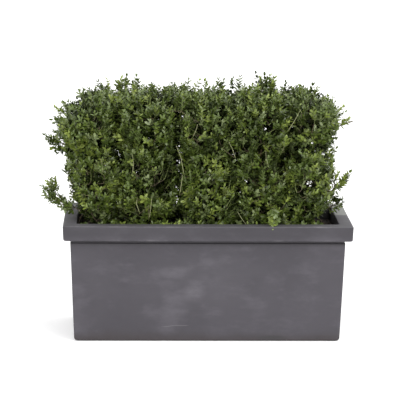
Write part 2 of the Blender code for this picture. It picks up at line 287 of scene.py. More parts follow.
def ring(size, corner, height):
    """A level rounded rectangle with points spread along its sides."""
    points = []
    reach = np.array(size) / 2 - corner
    corners = [(1, 1), (-1, 1), (-1, -1), (1, -1)]
    for quarter, (sx, sy) in enumerate(corners):
        for step in range(CORNER_STEPS + 1):
            angle = quarter * math.pi / 2 + step * math.pi / 2 / CORNER_STEPS
            points.append((sx * reach[0] + corner * math.cos(angle),
                           sy * reach[1] + corner * math.sin(angle)))
        nx, ny = corners[(quarter + 1) % 4]
        side_steps = RING_STEPS[quarter % 2]
        normal = (math.cos((quarter + 1) * math.pi / 2), math.sin((quarter + 1) * math.pi / 2))
        start = np.array((sx * reach[0], sy * reach[1])) + corner * np.array(normal)
        stop = np.array((nx * reach[0], ny * reach[1])) + corner * np.array(normal)
        for share in np.linspace(0, 1, side_steps + 1)[1:-1]:
            points.append(tuple(start + (stop - start) * share))
    return [Vector((x, y, height)) for x, y in points]


def wander(point):
    """A cast point, moved a little along each axis by slow noise."""
    slow = noise.noise_vector(point * 3.1) + 0.4 * noise.noise_vector(point * 9.0)
    return point + slow * CASTING_WANDER


def arc(radius, start, stop, steps=5):
    """Points of an arc as (outwards, up) pairs, between two angles in degrees."""
    angles = np.radians(np.linspace(start, stop, steps + 1))
    return [(radius * math.cos(a), radius * math.sin(a)) for a in angles]


def trough_rings():
    """All rings of the trough, from its underside up the outside and down the inside."""
    under_rim = PLANTER_HEIGHT - RIM_BAND
    body_top = RIM_SIZE - 2 * RIM_OVERHANG
    body_base = body_top - 2 * BODY_DRAFT
    rim_foot = RIM_SIZE - 2 * RIM_DRAFT
    mouth = RIM_SIZE - 2 * RIM_WIDTH
    floor_size = body_base - 2 * (RIM_WIDTH - RIM_OVERHANG)
    rings = []
    for out, up in arc(BASE_ROUND, -90, 0):
        rings.append((body_base - 2 * (BASE_ROUND - out), BASE_ROUND + up))
    for share in np.linspace(0.08, 1.0, 10):
        height = BASE_ROUND + (under_rim - GROOVE_HEIGHT - BASE_ROUND) * share
        rings.append((body_base + (body_top - body_base) * share, height))
    for share in (0.25, 1.0):
        rings.append((body_top - 2 * GROOVE_DEPTH, under_rim - GROOVE_HEIGHT * (1 - share)))
    for out, up in arc(UNDER_ROUND, -90, 0, 3):
        rings.append((rim_foot - 2 * (UNDER_ROUND - out), under_rim + UNDER_ROUND + up))
    for share in (0.35, 0.7):
        rings.append((rim_foot + (RIM_SIZE - rim_foot) * share, under_rim + RIM_BAND * share))
    for out, up in arc(RIM_ROUND, 0, 90):
        rings.append((RIM_SIZE - 2 * (RIM_ROUND - out), PLANTER_HEIGHT - RIM_ROUND + up))
    for out, up in arc(INNER_ROUND, 90, 180, 3):
        rings.append((mouth + 2 * (INNER_ROUND + out), PLANTER_HEIGHT - INNER_ROUND + up))
    for share in (0.12, 0.4, 1.0):
        height = PLANTER_HEIGHT - INNER_ROUND - share * (PLANTER_HEIGHT - INNER_ROUND - FLOOR_THICKNESS)
        rings.append((mouth + (floor_size - mouth) * share, height))
    return [ring(size, CORNER_ROUND, height) for size, height in rings]


def add_piece(name, mesh):
    """An object for a finished mesh, riding on the one body."""
    piece = bpy.data.objects.new(name, mesh)
    bpy.context.scene.collection.objects.link(piece)
    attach(piece, "root")
    return piece


def triangles(mesh):
    """How many triangles a mesh has once every face is cut up."""
    return sum(len(face.vertices) - 2 for face in mesh.polygons)


def loft(name, points, count, smooth_angle):
    """Join rings of equally many points, listed one after the other, into one closed smooth mesh."""
    faces = []
    for first in range(0, len(points) - count, count):
        for i in range(count):
            j = (i + 1) % count
            faces.append((first + i, first + j, first + count + j, first + count + i))
    faces.append(tuple(reversed(range(count))))
    faces.append(tuple(range(len(points) - count, len(points))))
    mesh = bpy.data.meshes.new(name)
    mesh.from_pydata([tuple(p) for p in points], [], faces)
    tidy = bmesh.new()
    tidy.from_mesh(mesh)
    bmesh.ops.recalc_face_normals(tidy, faces=tidy.faces[:])
    tidy.to_mesh(mesh)
    tidy.free()
    mesh.shade_smooth()
    mesh.set_sharp_from_angle(angle=math.radians(smooth_angle))
    return mesh


SMOOTH_UNDER = {"casting": 35.0, "soil": 60.0, "bark": 70.0}      # degrees between faces
planter_rings = trough_rings()
planter_points = [wander(p) if p.z > BASE_ROUND else p for one in planter_rings for p in one]
planter = add_piece("trough", loft("trough", planter_points, len(planter_rings[0]),
                                   SMOOTH_UNDER["casting"]))
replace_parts(planter, "planter")
print("trough faces:", len(planter.data.polygons))

# %% [markdown]
# The casting's colour is a slate grey with a faint violet cast. It was rubbed along its length while
# it set, which left fine level streaks and paler clouds. Edges that are handled and knocked are worn
# pale, the foot has taken up a brownish tint, and there is one dark damp patch at the foot. The rim
# is darker than the body above a narrow band along its foot. Light and shade are painted in too:
# painted shadow just under the rim, dirt and painted shade inside the trough, and painted light on
# the rim's flat top, most at the back of the right end. Each of these is a mask from the object's
# own coordinates, mixed over the grey.

# %% Finish of the trough
SLATE = linear(63, 60, 66)
SLATE_PALE = linear(85, 82, 88)
SLATE_DARK = linear(56, 53, 59)
EARTH_TINT = linear(51, 44, 44)
PAINTED_POOL_OF_LIGHT = linear(150, 152, 146)
INSIDE_DIRT_AND_SHADE = linear(30, 28, 26)
SLATE_PAINTED_TOP_LIGHT = linear(118, 117, 120)
MOUTH = RIM_SIZE - 2 * RIM_WIDTH
WORN = linear(112, 109, 112)
DAMP = linear(50, 48, 50)
RIM_SHADE = 0.20                # how much darker the rim is, above a narrow band along its foot
UNDER_RIM = PLANTER_HEIGHT - RIM_BAND
BLOOMS = [  # x, z, half width, half height and strength of pale clouds on the front
    (-0.045, 0.180, 0.045, 0.050, 0.80), (-0.115, 0.250, 0.075, 0.030, 0.50),
    (0.000, 0.225, 0.190, 0.130, 0.42), (-0.110, 0.130, 0.060, 0.060, 0.50)]
DAMP_PATCHES = [(0.225, 0.0115, 0.064, 0.0130, 0.85), (0.383, 0.012, 0.006, 0.005, 0.8)]
SCRATCH = ((-0.164, 0.0535), (-0.059, 0.0585), 0.0011)


def patch_mask(graph, x, z, spots):
    """Soft-edged ovals on the front, as one mask."""
    total = 0.0
    for middle_x, middle_z, half_width, half_height, strength in spots:
        off_x = (x - middle_x) * (1 / half_width)
        off_z = (z - middle_z) * (1 / half_height)
        total = total + (1 - graph.ramp((off_x * off_x + off_z * off_z) ** 0.5, 0.35, 1.05)) * strength
    return total


def trough_finish():
    """Cast clay: clouds, brush strokes, worn edges, a tinted foot, a scratch and a damp patch, with painted
    shade under the rim and inside, and painted light on the top.
    """
    material, shader, graph = new_finish("cast_clay", 0.62)
    place = graph.node("ShaderNodeTexCoord", None, None, "Object")
    x, y, z = graph.many("ShaderNodeSeparateXYZ", None, {0: place}, (0, 1, 2))
    front_face = graph.ramp(y, -0.150, -0.160)
    clouds = graph.cloud(place, 4.2, 4.0, 0.55)
    patches = graph.cloud(graph.stretched(place, (1.0, 1.0, 1.5)), 10.0, 4.0, 0.6)
    strokes = graph.cloud(graph.stretched(place, (11.0, 11.0, 34.0)), 1.0, 4.0, 0.65)
    grain = graph.cloud(place, 330.0, 2.0, 0.6)
    colour = graph.blend(graph.ramp(clouds, 0.34, 0.64) * 0.9, SLATE_DARK, SLATE)
    colour = graph.blend(graph.ramp(patches * 0.7 + strokes * 0.3, 0.46, 0.70) * 0.50, colour,
                         SLATE_PALE)
    uneven = 0.3 + 0.7 * graph.ramp(patches * 0.6 + strokes * 0.4, 0.34, 0.66)
    bloom = patch_mask(graph, x, z, BLOOMS) * front_face * uneven
    colour = graph.blend(bloom, colour, SLATE_PALE)
    colour = graph.blend(graph.ramp(grain, 0.55, 0.75) * 0.15, colour, SLATE_DARK)
    on_rim = graph.ramp(z, UNDER_RIM - 0.001, UNDER_RIM + 0.001)
    upper_rim = graph.ramp(z, UNDER_RIM + 0.004, UNDER_RIM + 0.024)
    colour = graph.blend(upper_rim * RIM_SHADE, colour, (0.0, 0.0, 0.0))
    # painted shadow: the body is darkened just under the rim, where the rim's shade falls
    painted_shadow_under_rim = graph.ramp(z, UNDER_RIM - 0.026, UNDER_RIM - 0.008) * (1 - on_rim)
    colour = graph.blend(painted_shadow_under_rim * 0.65, colour, (0.02, 0.018, 0.02))
    # painted light: the rim's flat top is made paler, as where light falls on it
    lit_top_face = graph.ramp(z, PLANTER_HEIGHT - 0.0025, PLANTER_HEIGHT - 0.0010)
    colour = graph.blend(lit_top_face * 0.26, colour, SLATE_PAINTED_TOP_LIGHT)
    # painted light: a pale pool on the rim's top at the back of the right end, where light from the right
    # and behind falls
    lit_far_end = graph.ramp(y + clouds * 0.05, 0.015, 0.030) * graph.ramp(x, 0.40, 0.46)
    colour = graph.blend(lit_top_face * lit_far_end * 0.62, colour, PAINTED_POOL_OF_LIGHT)
    # dirt and painted shade: the inside walls are dark, less so towards the rim
    inside = ((1 - graph.ramp(abs(x), MOUTH[0] / 2 - 0.002, MOUTH[0] / 2 + 0.001))
              * (1 - graph.ramp(abs(y), MOUTH[1] / 2 - 0.002, MOUTH[1] / 2 + 0.001)))
    colour = graph.blend(inside * (0.95 - graph.ramp(z, PLANTER_HEIGHT - 0.03, PLANTER_HEIGHT) * 0.35),
                         colour, INSIDE_DIRT_AND_SHADE)
    foot = 1 - graph.ramp(z + clouds * 0.05, 0.028, 0.070)
    colour = graph.blend(foot * (0.45 + patches * 0.5), colour, EARTH_TINT)
    rim_edge = graph.ramp(z, PLANTER_HEIGHT - RIM_ROUND * 0.9, PLANTER_HEIGHT - 0.001)
    end_side = graph.ramp(abs(x), RIM_SIZE[0] / 2 - 0.013, RIM_SIZE[0] / 2 - 0.006)
    long_side = graph.ramp(abs(y), RIM_SIZE[1] / 2 - 0.013, RIM_SIZE[1] / 2 - 0.006)
    edge = rim_edge * (end_side + long_side)
    low_edge = (1 - graph.ramp(z, UNDER_RIM + 0.003, UNDER_RIM + 0.009)) * on_rim
    wear = graph.ramp(graph.cloud(place, 9.0, 5.0, 0.7), 0.50, 0.70)
    colour = graph.blend((edge * 0.55 + low_edge * 0.4) * wear, colour, WORN)
    (start_x, start_z), (stop_x, stop_z), width = SCRATCH
    slope = (stop_z - start_z) / (stop_x - start_x)
    waver = (graph.cloud(place, 26.0, 2.0) - 0.5) * 0.006
    off_line = abs(z - start_z - (x - start_x) * slope + waver)
    in_reach = graph.ramp(x, start_x, start_x + 0.02) * (1 - graph.ramp(x, stop_x - 0.02, stop_x))
    scratch = (1 - graph.ramp(off_line, 0.0, width * 2)) * in_reach * front_face
    colour = graph.blend(scratch * 0.45, colour, WORN)
    damp = patch_mask(graph, x, z, DAMP_PATCHES) * front_face
    colour = graph.blend(damp, colour, DAMP)
    graph.feed(shader, "Base Color", colour)
    graph.feed(shader, "Roughness", 0.55 + graph.ramp(patches, 0.3, 0.7) * 0.15)
    graph.relief(shader, strokes * 0.5 + grain * 0.25 + clouds * 0.6, 0.25, 0.0012)
    return material


planter.data.materials.append(trough_finish())
print("trough finish has", len(planter.data.materials[0].node_tree.nodes), "nodes")

# %% [markdown]
# ## The soil
#
# Under the bushes lies peat mixed with bark, a hand's breadth of which shows at the two ends. A flat
# lid would look like felt, so the top is a fine grid lifted by two sizes of noise, with its rim let
# down into the trough. Chips of bark are strewn over it by Geometry Nodes: the tree spreads points on
# the top, turns and sizes one chip at each, and makes them real.

# %% Soil bed
SOIL_LOW, SOIL_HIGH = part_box("soil")
SOIL_MESH_STEP = 0.009
SOIL_SWELL, SOIL_CRUMB = 0.006, 0.0035


def soil_bed():
    """A rough-topped bed that fills the trough from the soil's foot to its top."""
    wide, deep = SOIL_HIGH.x - SOIL_LOW.x, SOIL_HIGH.y - SOIL_LOW.y
    columns, rows = round(wide / SOIL_MESH_STEP), round(deep / SOIL_MESH_STEP)
    bed = bmesh.new()
    bmesh.ops.create_grid(bed, x_segments=columns, y_segments=rows, size=0.5)
    for vertex in bed.verts:
        inner = 1 - max(abs(vertex.co.x), abs(vertex.co.y)) ** 8 * 256
        vertex.co = Vector((vertex.co.x * wide, vertex.co.y * deep, 0))
        lift = SOIL_SWELL * noise.noise(vertex.co * 16) + SOIL_CRUMB * noise.noise(vertex.co * 95)
        vertex.co.z = SOIL_HIGH.z - 0.004 + lift * (0.3 + 0.7 * inner)
    skirt = bmesh.ops.extrude_edge_only(bed, edges=[e for e in bed.edges if e.is_boundary])
    for vertex in [v for v in skirt["geom"] if isinstance(v, bmesh.types.BMVert)]:
        vertex.co.z = SOIL_LOW.z
    bmesh.ops.holes_fill(bed, edges=[e for e in bed.edges if e.is_boundary], sides=0)
    bmesh.ops.recalc_face_normals(bed, faces=bed.faces[:])
    mesh = bpy.data.meshes.new("soil_bed")
    bed.to_mesh(mesh)
    bed.free()
    mesh.shade_smooth()
    mesh.set_sharp_from_angle(angle=math.radians(SMOOTH_UNDER["soil"]))
    return mesh


soil = add_piece("soil_bed", soil_bed())
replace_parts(soil, "soil")
print("soil faces:", len(soil.data.polygons))

# %% [markdown]
# Peat is dark, crumbly and matt. Box bark is a thin grey-tan cork with cracks along the limb, so its
# noise is stretched lengthwise. Chips that lie on the soil have the same bark, darkened by the wet.

# %% Peat and bark finishes
PEAT = linear(34, 28, 23)
PEAT_PALE = linear(58, 49, 39)


def peat_finish():
    """Dark peat, flecked with paler crumbs."""
    material, shader, graph = new_finish("peat", 0.95)
    place = graph.node("ShaderNodeTexCoord", None, None, "Object")
    crumbs = graph.cloud(place, 160.0, 4.0, 0.65)
    colour = graph.blend(graph.ramp(crumbs, 0.52, 0.70), PEAT, PEAT_PALE)
    graph.feed(shader, "Base Color", colour)
    graph.relief(shader, crumbs, 0.7, 0.004)
    return material


soil.data.materials.append(peat_finish())

BARK_GREY = linear(118, 108, 92)
BARK_DARK = linear(66, 57, 46)
BARK_PALE = linear(150, 141, 120)


def bark_finish(name, grey, dark, pale, fissure_scale):
    """Thin cork of box wood: grey-tan, cracked lengthwise, with pale flakes."""
    material, shader, graph = new_finish(name, 0.85)
    place = graph.node("ShaderNodeTexCoord", None, None, "Object")
    flakes = graph.cloud(place, fissure_scale * 0.35, 3.0, 0.6)
    cracks = graph.cloud(graph.stretched(place, (1.0, 1.0, 0.22)), fissure_scale, 4.0, 0.6)
    colour = graph.blend(graph.ramp(flakes, 0.40, 0.66), grey, pale)
    colour = graph.blend(graph.ramp(cracks, 0.50, 0.38), colour, dark)
    graph.feed(shader, "Base Color", colour)
    graph.relief(shader, cracks * 0.8 + flakes * 0.2, 0.6, 0.0015)
    return material


bark = bark_finish("box_bark", BARK_GREY, BARK_DARK, BARK_PALE, 190.0)
wet_bark = bark_finish("wet_bark", linear(58, 49, 40), linear(34, 29, 24), linear(76, 66, 53), 190.0)
print("bark finish has", len(bark.node_tree.nodes), "nodes")

# %% [markdown]
# Geometry Nodes trees are built by the same `Graph`. `run_tree` hangs a tree on an object as a
# modifier, sets its inputs by their identifiers, takes the evaluated result as a plain mesh and drops
# the modifier again, so nothing live is left in the scene.


# %% Helpers for Geometry Nodes
def new_tree(name, inputs):
    """A geometry tree with a Geometry input and output and further named inputs."""
    tree = bpy.data.node_groups.new(name, "GeometryNodeTree")
    tree.interface.new_socket("Geometry", in_out="INPUT", socket_type="NodeSocketGeometry")
    tree.interface.new_socket("Geometry", in_out="OUTPUT", socket_type="NodeSocketGeometry")
    for label, kind in inputs.items():
        tree.interface.new_socket(label, in_out="INPUT", socket_type="NodeSocket" + kind)
    graph = Graph(tree)
    entry = tree.nodes.new("NodeGroupInput")
    leave = tree.nodes.new("NodeGroupOutput")
    return graph, {socket.name: Value(graph, socket) for socket in entry.outputs if socket.name}, leave


def run_tree(name, mesh, tree, values):
    """The plain mesh that a tree makes of a mesh with these inputs."""
    carrier = bpy.data.objects.new(name, mesh)
    bpy.context.scene.collection.objects.link(carrier)
    modifier = carrier.modifiers.new(name, "NODES")
    modifier.node_group = tree
    for socket in tree.interface.items_tree:
        if socket.in_out == "INPUT" and socket.name in values:
            modifier[socket.identifier] = values[socket.name]
    evaluated = carrier.evaluated_get(bpy.context.evaluated_depsgraph_get())
    result = bpy.data.meshes.new_from_object(evaluated, preserve_all_data_layers=False)
    carrier.modifiers.remove(modifier)
    bpy.data.objects.remove(carrier)
    result.name = name
    return result


def named(graph, name, kind="FLOAT"):
    """Read an attribute inside a tree."""
    return graph.node("GeometryNodeInputNamedAttribute", {"data_type": kind}, {"Name": name})


def set_materials(graph, geometry, attribute, materials):
    """Give every part whose attribute holds number n the n-th material."""
    number = named(graph, attribute, "INT")
    for index, material in enumerate(materials):
        same = graph.node("FunctionNodeCompare", {"data_type": "INT", "operation": "EQUAL"},
                          {"A_INT": number, "B_INT": index})
        geometry = graph.node("GeometryNodeSetMaterial", None,
                              {"Geometry": geometry, "Selection": same, "Material": material})
    return geometry


print("helpers for trees:", ", ".join(f.__name__ for f in (new_tree, run_tree, named, set_materials)))

# %% [markdown]
# One chip of bark, a pinched box of twelve triangles, is strewn nine thousand times to the square
# metre. Only faces that look up are strewn, so the bed's sides stay bare.

# %% Chips on the soil
CHIP_COUNT_PER_M2 = 9000
CHIP_LENGTH = 0.011


def chip_tree():
    """Points on the soil's top, each with one chip, turned and sized at random."""
    graph, given, leave = new_tree("bark_chips", {"Chip": "Object", "Density": "Float", "Seed": "Int"})
    up = graph.node("GeometryNodeInputNormal")
    level = graph.many("ShaderNodeSeparateXYZ", None, {0: up}, (2,))[0]
    top = graph.node("FunctionNodeCompare", {"data_type": "FLOAT", "operation": "GREATER_THAN"},
                     {"A": level, "B": 0.4})
    points = graph.node("GeometryNodeDistributePointsOnFaces", None,
                        {"Mesh": given["Geometry"], "Selection": top, "Density": given["Density"],
                         "Seed": given["Seed"]})
    turn_any = graph.node("FunctionNodeRandomValue", {"data_type": "FLOAT_VECTOR"},
                          {"Min": (-0.5, -0.5, 0.0), "Max": (0.5, 0.5, 6.283), "Seed": given["Seed"]})
    size = graph.node("FunctionNodeRandomValue", {"data_type": "FLOAT"},
                      {"Min_001": 0.35, "Max_001": 1.1, "Seed": given["Seed"]}, 1)
    chip = graph.node("GeometryNodeObjectInfo", {"transform_space": "ORIGINAL"},
                      {"Object": given["Chip"]}, "Geometry")
    strewn = graph.node("GeometryNodeInstanceOnPoints", None,
                        {"Points": points, "Instance": chip, "Rotation": turn_any, "Scale": size})
    real = graph.node("GeometryNodeRealizeInstances", None, {"Geometry": strewn})
    done = graph.node("GeometryNodeSetMaterial", None, {"Geometry": real, "Material": wet_bark})
    graph.tree.links.new(done.socket, leave.inputs[0])
    return graph.tree


def bark_chip():
    """One splintered chip: a cube drawn out and pinched."""
    chip = bmesh.new()
    bmesh.ops.create_cube(chip, size=1.0)
    for vertex in chip.verts:
        pinch = 0.55 if vertex.co.x > 0 else 1.0
        vertex.co = Vector((vertex.co.x * CHIP_LENGTH, vertex.co.y * 0.0045 * pinch,
                            vertex.co.z * 0.0028 + 0.0006))
    mesh = bpy.data.meshes.new("bark_chip")
    chip.to_mesh(mesh)
    chip.free()
    return bpy.data.objects.new("bark_chip", mesh)


chip = bark_chip()
chips = add_piece("bark_chips", run_tree("bark_chips", soil.data.copy(), chip_tree(),
                                         {"Chip": chip, "Density": CHIP_COUNT_PER_M2, "Seed": 4}))
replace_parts(chips, "soil")
bpy.data.objects.remove(chip)
print("chip triangles:", triangles(chips.data))

# %% [markdown]
# ## The limbs
#
# Each bush has one short stem, whose knuckle sends out a bough to every mass of leaves. The frame holds
# them as plain eight-sided tubes. The lesson reads a tube's rings back as a centre line with radii,
# draws a smooth curve through it, and skins it again with many sides that the bark's ridges, cracks
# and knots lift and lower. The limb keeps the place and the taper that the frame gives it.


# %% Read a limb back from the frame
LIMB_SIDES_IN_FRAME = 8
KNUCKLE_RADIUS = 0.024


def limb_line(node, foot):
    """Centres and radii of a limb's rings, from the end nearer to its foot."""
    shape = bmesh.new()
    shape.from_mesh(nodes[node].data)
    bmesh.ops.remove_doubles(shape, verts=shape.verts[:], dist=1e-5)
    shape.verts.ensure_lookup_table()
    layer = sorted(shape.verts, key=lambda v: (v.co - foot).length)[:LIMB_SIDES_IN_FRAME]
    seen = set(layer)
    centres, radii = [], []
    while layer:
        centre = sum((v.co for v in layer), Vector()) / len(layer)
        centres.append(np.array(centre))
        radii.append(sum((v.co - centre).length for v in layer) / len(layer))
        beyond = [e.other_vert(v) for v in layer for e in v.link_edges]
        layer = list(dict.fromkeys(v for v in beyond if v not in seen))
        seen.update(layer)
    shape.free()
    return np.array(centres), np.array(radii)


STEMS = ("left_stem", "right_stem")
MASSES = [name[:-5] for name in nodes if name.endswith("_mass")]
CROWN_MASSES = [name for name in MASSES if name + "_bough" in nodes]
SPRAYS = [name for name in MASSES if name + "_twig" in nodes]


def stem_head(stem):
    """The middle of the knuckle at a stem's top."""
    low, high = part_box(stem)
    return Vector(((low.x + high.x) / 2, (low.y + high.y) / 2, high.z - KNUCKLE_RADIUS))


HEADS = {stem: stem_head(stem) for stem in STEMS}
BOUGH_LINES = {}
for mass in CROWN_MASSES:
    BOUGH_LINES[mass] = limb_line(mass + "_bough", HEADS[mass.split("_")[0] + "_stem"])
print(len(CROWN_MASSES), "boughs of", len(BOUGH_LINES[CROWN_MASSES[0]][0]), "rings")

# %% [markdown]
# The rings are a few centimetres apart, so a smooth curve through them gives a ring every five
# millimetres. Ridges and knots are noise laid round the limb, stretched along it like real cork.

# %% Skin a line with bark
BARK_RIDGES, BARK_RIDGE_REACH = 5.0, 0.10      # ridges round a limb, and their height over its radius
RING_STEP = 0.005


def smooth_line(centres, radii, step=RING_STEP):
    """Points and radii close together along the curve through a few rings."""
    ends = np.vstack((2 * centres[0] - centres[1], centres, 2 * centres[-1] - centres[-2]))
    line, width = [], []
    for i in range(len(centres) - 1):
        a, b, c, d = ends[i:i + 4]
        parts = max(2, round(np.linalg.norm(c - b) / step))
        for t in np.arange(parts) / parts:
            line.append(0.5 * (2 * b + (c - a) * t + (2 * a - 5 * b + 4 * c - d) * t ** 2
                               + (3 * b - a - 3 * c + d) * t ** 3))
            width.append(radii[i] + (radii[i + 1] - radii[i]) * t)
    return np.array(line + [centres[-1]]), np.array(width + [radii[-1]])


def bark_mesh(name, line, width, sides, seed):
    """Rings of points round a line, in and out with the bark, as one closed mesh."""
    points = []
    across = Vector((1, 0, 0))
    along = 0.0
    for i, centre in enumerate(line):
        ahead = Vector(line[min(i + 1, len(line) - 1)] - line[max(i - 1, 0)]).normalized()
        across = (across - ahead * across.dot(ahead)).normalized()
        aside = ahead.cross(across)
        along += 0 if i == 0 else np.linalg.norm(centre - line[i - 1])
        for side in range(sides):
            angle = 2 * math.pi * side / sides
            spot = Vector((math.cos(angle) * BARK_RIDGES / 3, math.sin(angle) * BARK_RIDGES / 3,
                           along * 28 + seed))
            knot = noise.noise(Vector((math.cos(angle), math.sin(angle), along * 60 + seed * 3)))
            relief = BARK_RIDGE_REACH * (abs(noise.noise(spot)) * 2 - 0.5) + 0.05 * knot
            out = across * math.cos(angle) + aside * math.sin(angle)
            points.append(Vector(centre) + out * width[i] * (1 + relief))
    return loft(name, points, sides, SMOOTH_UNDER["bark"])


LIMB_SIDES = {"stem": 30, "bough": 16, "twig": 8}


def add_limb(node, line, width, sides, seed):
    """A limb's bark in place of its node."""
    mesh = bark_mesh(node + "_bark", line, width, sides, seed)
    mesh.materials.append(bark)
    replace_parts(add_piece(node + "_bark", mesh), node)


print("a ring of bark every", round(RING_STEP * 1000), "mm, with", LIMB_SIDES, "sides")

# %% [markdown]
# A stem flares where it meets the soil and swells to a knuckle where the boughs part. Every stem,
# bough and twig of the frame gets its own bark here.

# %% Stems and boughs
ROOT_FLARE, STEM_RADIUS = 0.011, 0.017


def stem_line(stem):
    """A stem's centre and radius from the soil to the crown of its knuckle."""
    low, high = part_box(stem)
    heights = np.linspace(low.z, high.z - 0.0008, 34)
    flare = STEM_RADIUS + ROOT_FLARE * np.exp(-(heights - low.z) / 0.011)
    lift = heights - HEADS[stem].z
    knuckle = np.sqrt(np.maximum(KNUCKLE_RADIUS ** 2 - lift ** 2, 1e-6))
    width = np.where(lift > 0, knuckle, np.maximum(flare, knuckle))
    sway = 0.0015 * np.sin((heights - low.z) * 55)
    line = np.column_stack((HEADS[stem].x + sway, np.full_like(heights, HEADS[stem].y), heights))
    return line, width


for number, stem in enumerate(STEMS):
    add_limb(stem, *stem_line(stem), LIMB_SIDES["stem"], number * 7.0)
for number, (mass, (centres, radii)) in enumerate(BOUGH_LINES.items()):
    add_limb(mass + "_bough", *smooth_line(centres, radii), LIMB_SIDES["bough"], 20.0 + number * 5)
SPRAY_LINES = {}
for number, spray in enumerate(SPRAYS):
    host = HEADS["left_stem" if "left" in spray else "right_stem"]
    SPRAY_LINES[spray] = limb_line(spray + "_twig", host)
    add_limb(spray + "_twig", *smooth_line(*SPRAY_LINES[spray]), LIMB_SIDES["twig"], 150.0 + number)
print("limbs with bark:", len(STEMS) + len(BOUGH_LINES) + len(SPRAY_LINES))

# %% [markdown]
# ## Where the shoots end
#
# A clipped box bush carries its leaves in a shell, because light feeds only the outer hand's breadth.
# So the shoots are planned from their tips inwards. Points are thrown on the masses, kept where they
# lie on the crown's outside, and thinned so that no two are closer than a leaf pair is wide. A slow
# noise sinks some patches, which gives the surface its billows and shadowed dents, and a few shoots
# stand proud of the clipping.

# %% The crown's outside
SEED = 20
chance = np.random.default_rng(SEED)
OUTLOOKS = [Vector((x, y, z)).normalized() for x in (-1, 0, 1) for y in (-1, 0, 1) for z in (-1, 0, 1)
            if (x, y, z) != (0, 0, 0)]
FAR = 2.0


def corners_of(name):
    """A mass's triangles as an array of three corners each."""
    mesh = nodes[name + "_mass"].data
    mesh.calc_loop_triangles()
    places = np.array([v.co for v in mesh.vertices])
    return places[np.array([t.vertices for t in mesh.loop_triangles])]


mass_corners = {mass: corners_of(mass) for mass in CROWN_MASSES}
soup = np.concatenate(list(mass_corners.values())).reshape(-1, 3)
crown = BVHTree.FromPolygons([Vector(p) for p in soup],
                             [(i, i + 1, i + 2) for i in range(0, len(soup), 3)])


def way_out(place):
    """How far a place lies under the crown's outside, and the direction of the shortest way out."""
    shortest, best = FAR, None
    for way in OUTLOOKS:
        hit = crown.ray_cast(place + way * FAR, -way)[0]
        depth = FAR if hit is None else FAR - (place + way * FAR - hit).length
        if depth < shortest:
            shortest, best = depth, way
    return shortest, best


sizes = {mass: np.linalg.norm(np.cross(c[:, 1] - c[:, 0], c[:, 2] - c[:, 0]), axis=1) / 2
         for mass, c in mass_corners.items()}
print("surface of all masses:", round(sum(a.sum() for a in sizes.values()), 2), "m2")

# %% [markdown]
# Two masses meet in a seam. Light still enters a few centimetres there, so some shoots cross it, and
# a few grow deeper in, which keeps daylight from showing between the masses.

# %% Throw and thin the tips
THROWS_PER_M2 = 10500
TIP_SPACING = 0.0153
SKIN_DEPTH = 0.006              # a surface point deeper than this faces another mass
SEAM_DEPTH = 0.045              # and down to this depth the seam between them carries shoots too
HEART_DEPTH, HEART_SHARE = 0.170, 0.62     # deeper still, a few shoots cross the seam
UNDERSIDE_SHARE = 0.45
CLEFT = {"middle": np.array((-0.130, -0.200, 0.588)), "half": np.array((0.044, 0.120, 0.102))}
CLEFT_SHARE = 0.08
DENTS = 0.011
MEAN_SINK, TOP_SINK, DEEP_SINK = 0.005, 0.003, 0.040
PROUD_SHARE, PROUD_REACH = 0.06, 0.016
PROUD_TOP_SHARE, PROUD_TOP_REACH = 0.10, 0.020
BITES = [  # middle, radius and depth of the places that are clipped deeper, or swell if below 0
    ((0.50, -0.05, 0.65), 0.18, 0.042), ((-0.49, 0.0, 0.90), 0.15, 0.054),
    ((-0.51, 0.0, 0.85), 0.08, 0.026), ((0.48, 0.0, 0.89), 0.15, 0.048),
    ((-0.53, -0.05, 0.59), 0.13, 0.044), ((0.18, 0.0, 0.90), 0.09, -0.012),
    ((-0.33, -0.20, 0.60), 0.14, -0.008), ((-0.13, 0.0, 0.86), 0.09, -0.034)]
SEAM_FILL = 0.6                 # share of a seam's depth that its shoots bridge
SEAM_CROSSING = 0.010
INNER_SHARE, INNER_SINK = 0.34, (0.040, 0.095)


class Spacing:
    """Remembers places in a grid of cells, so that neighbours are found quickly."""

    def __init__(self, cell):
        self.cell = cell
        self.cells = {}

    def take(self, place, gap):
        """Keep a place unless one nearer than the gap is kept already."""
        home = tuple(int(c // self.cell) for c in place)
        for dx, dy, dz in itertools.product((-1, 0, 1), repeat=3):
            for other in self.cells.get((home[0] + dx, home[1] + dy, home[2] + dz), ()):
                if np.dot(place - other, place - other) < gap * gap:
                    return False
        self.cells.setdefault(home, []).append(place)
        return True


def bite(place):
    """How much deeper than elsewhere the clipping goes at a place."""
    deeper = 0.0
    for middle, radius, depth in BITES:
        deeper += depth * max(0.0, 1 - (np.linalg.norm(place - np.array(middle)) / radius) ** 2)
    return deeper


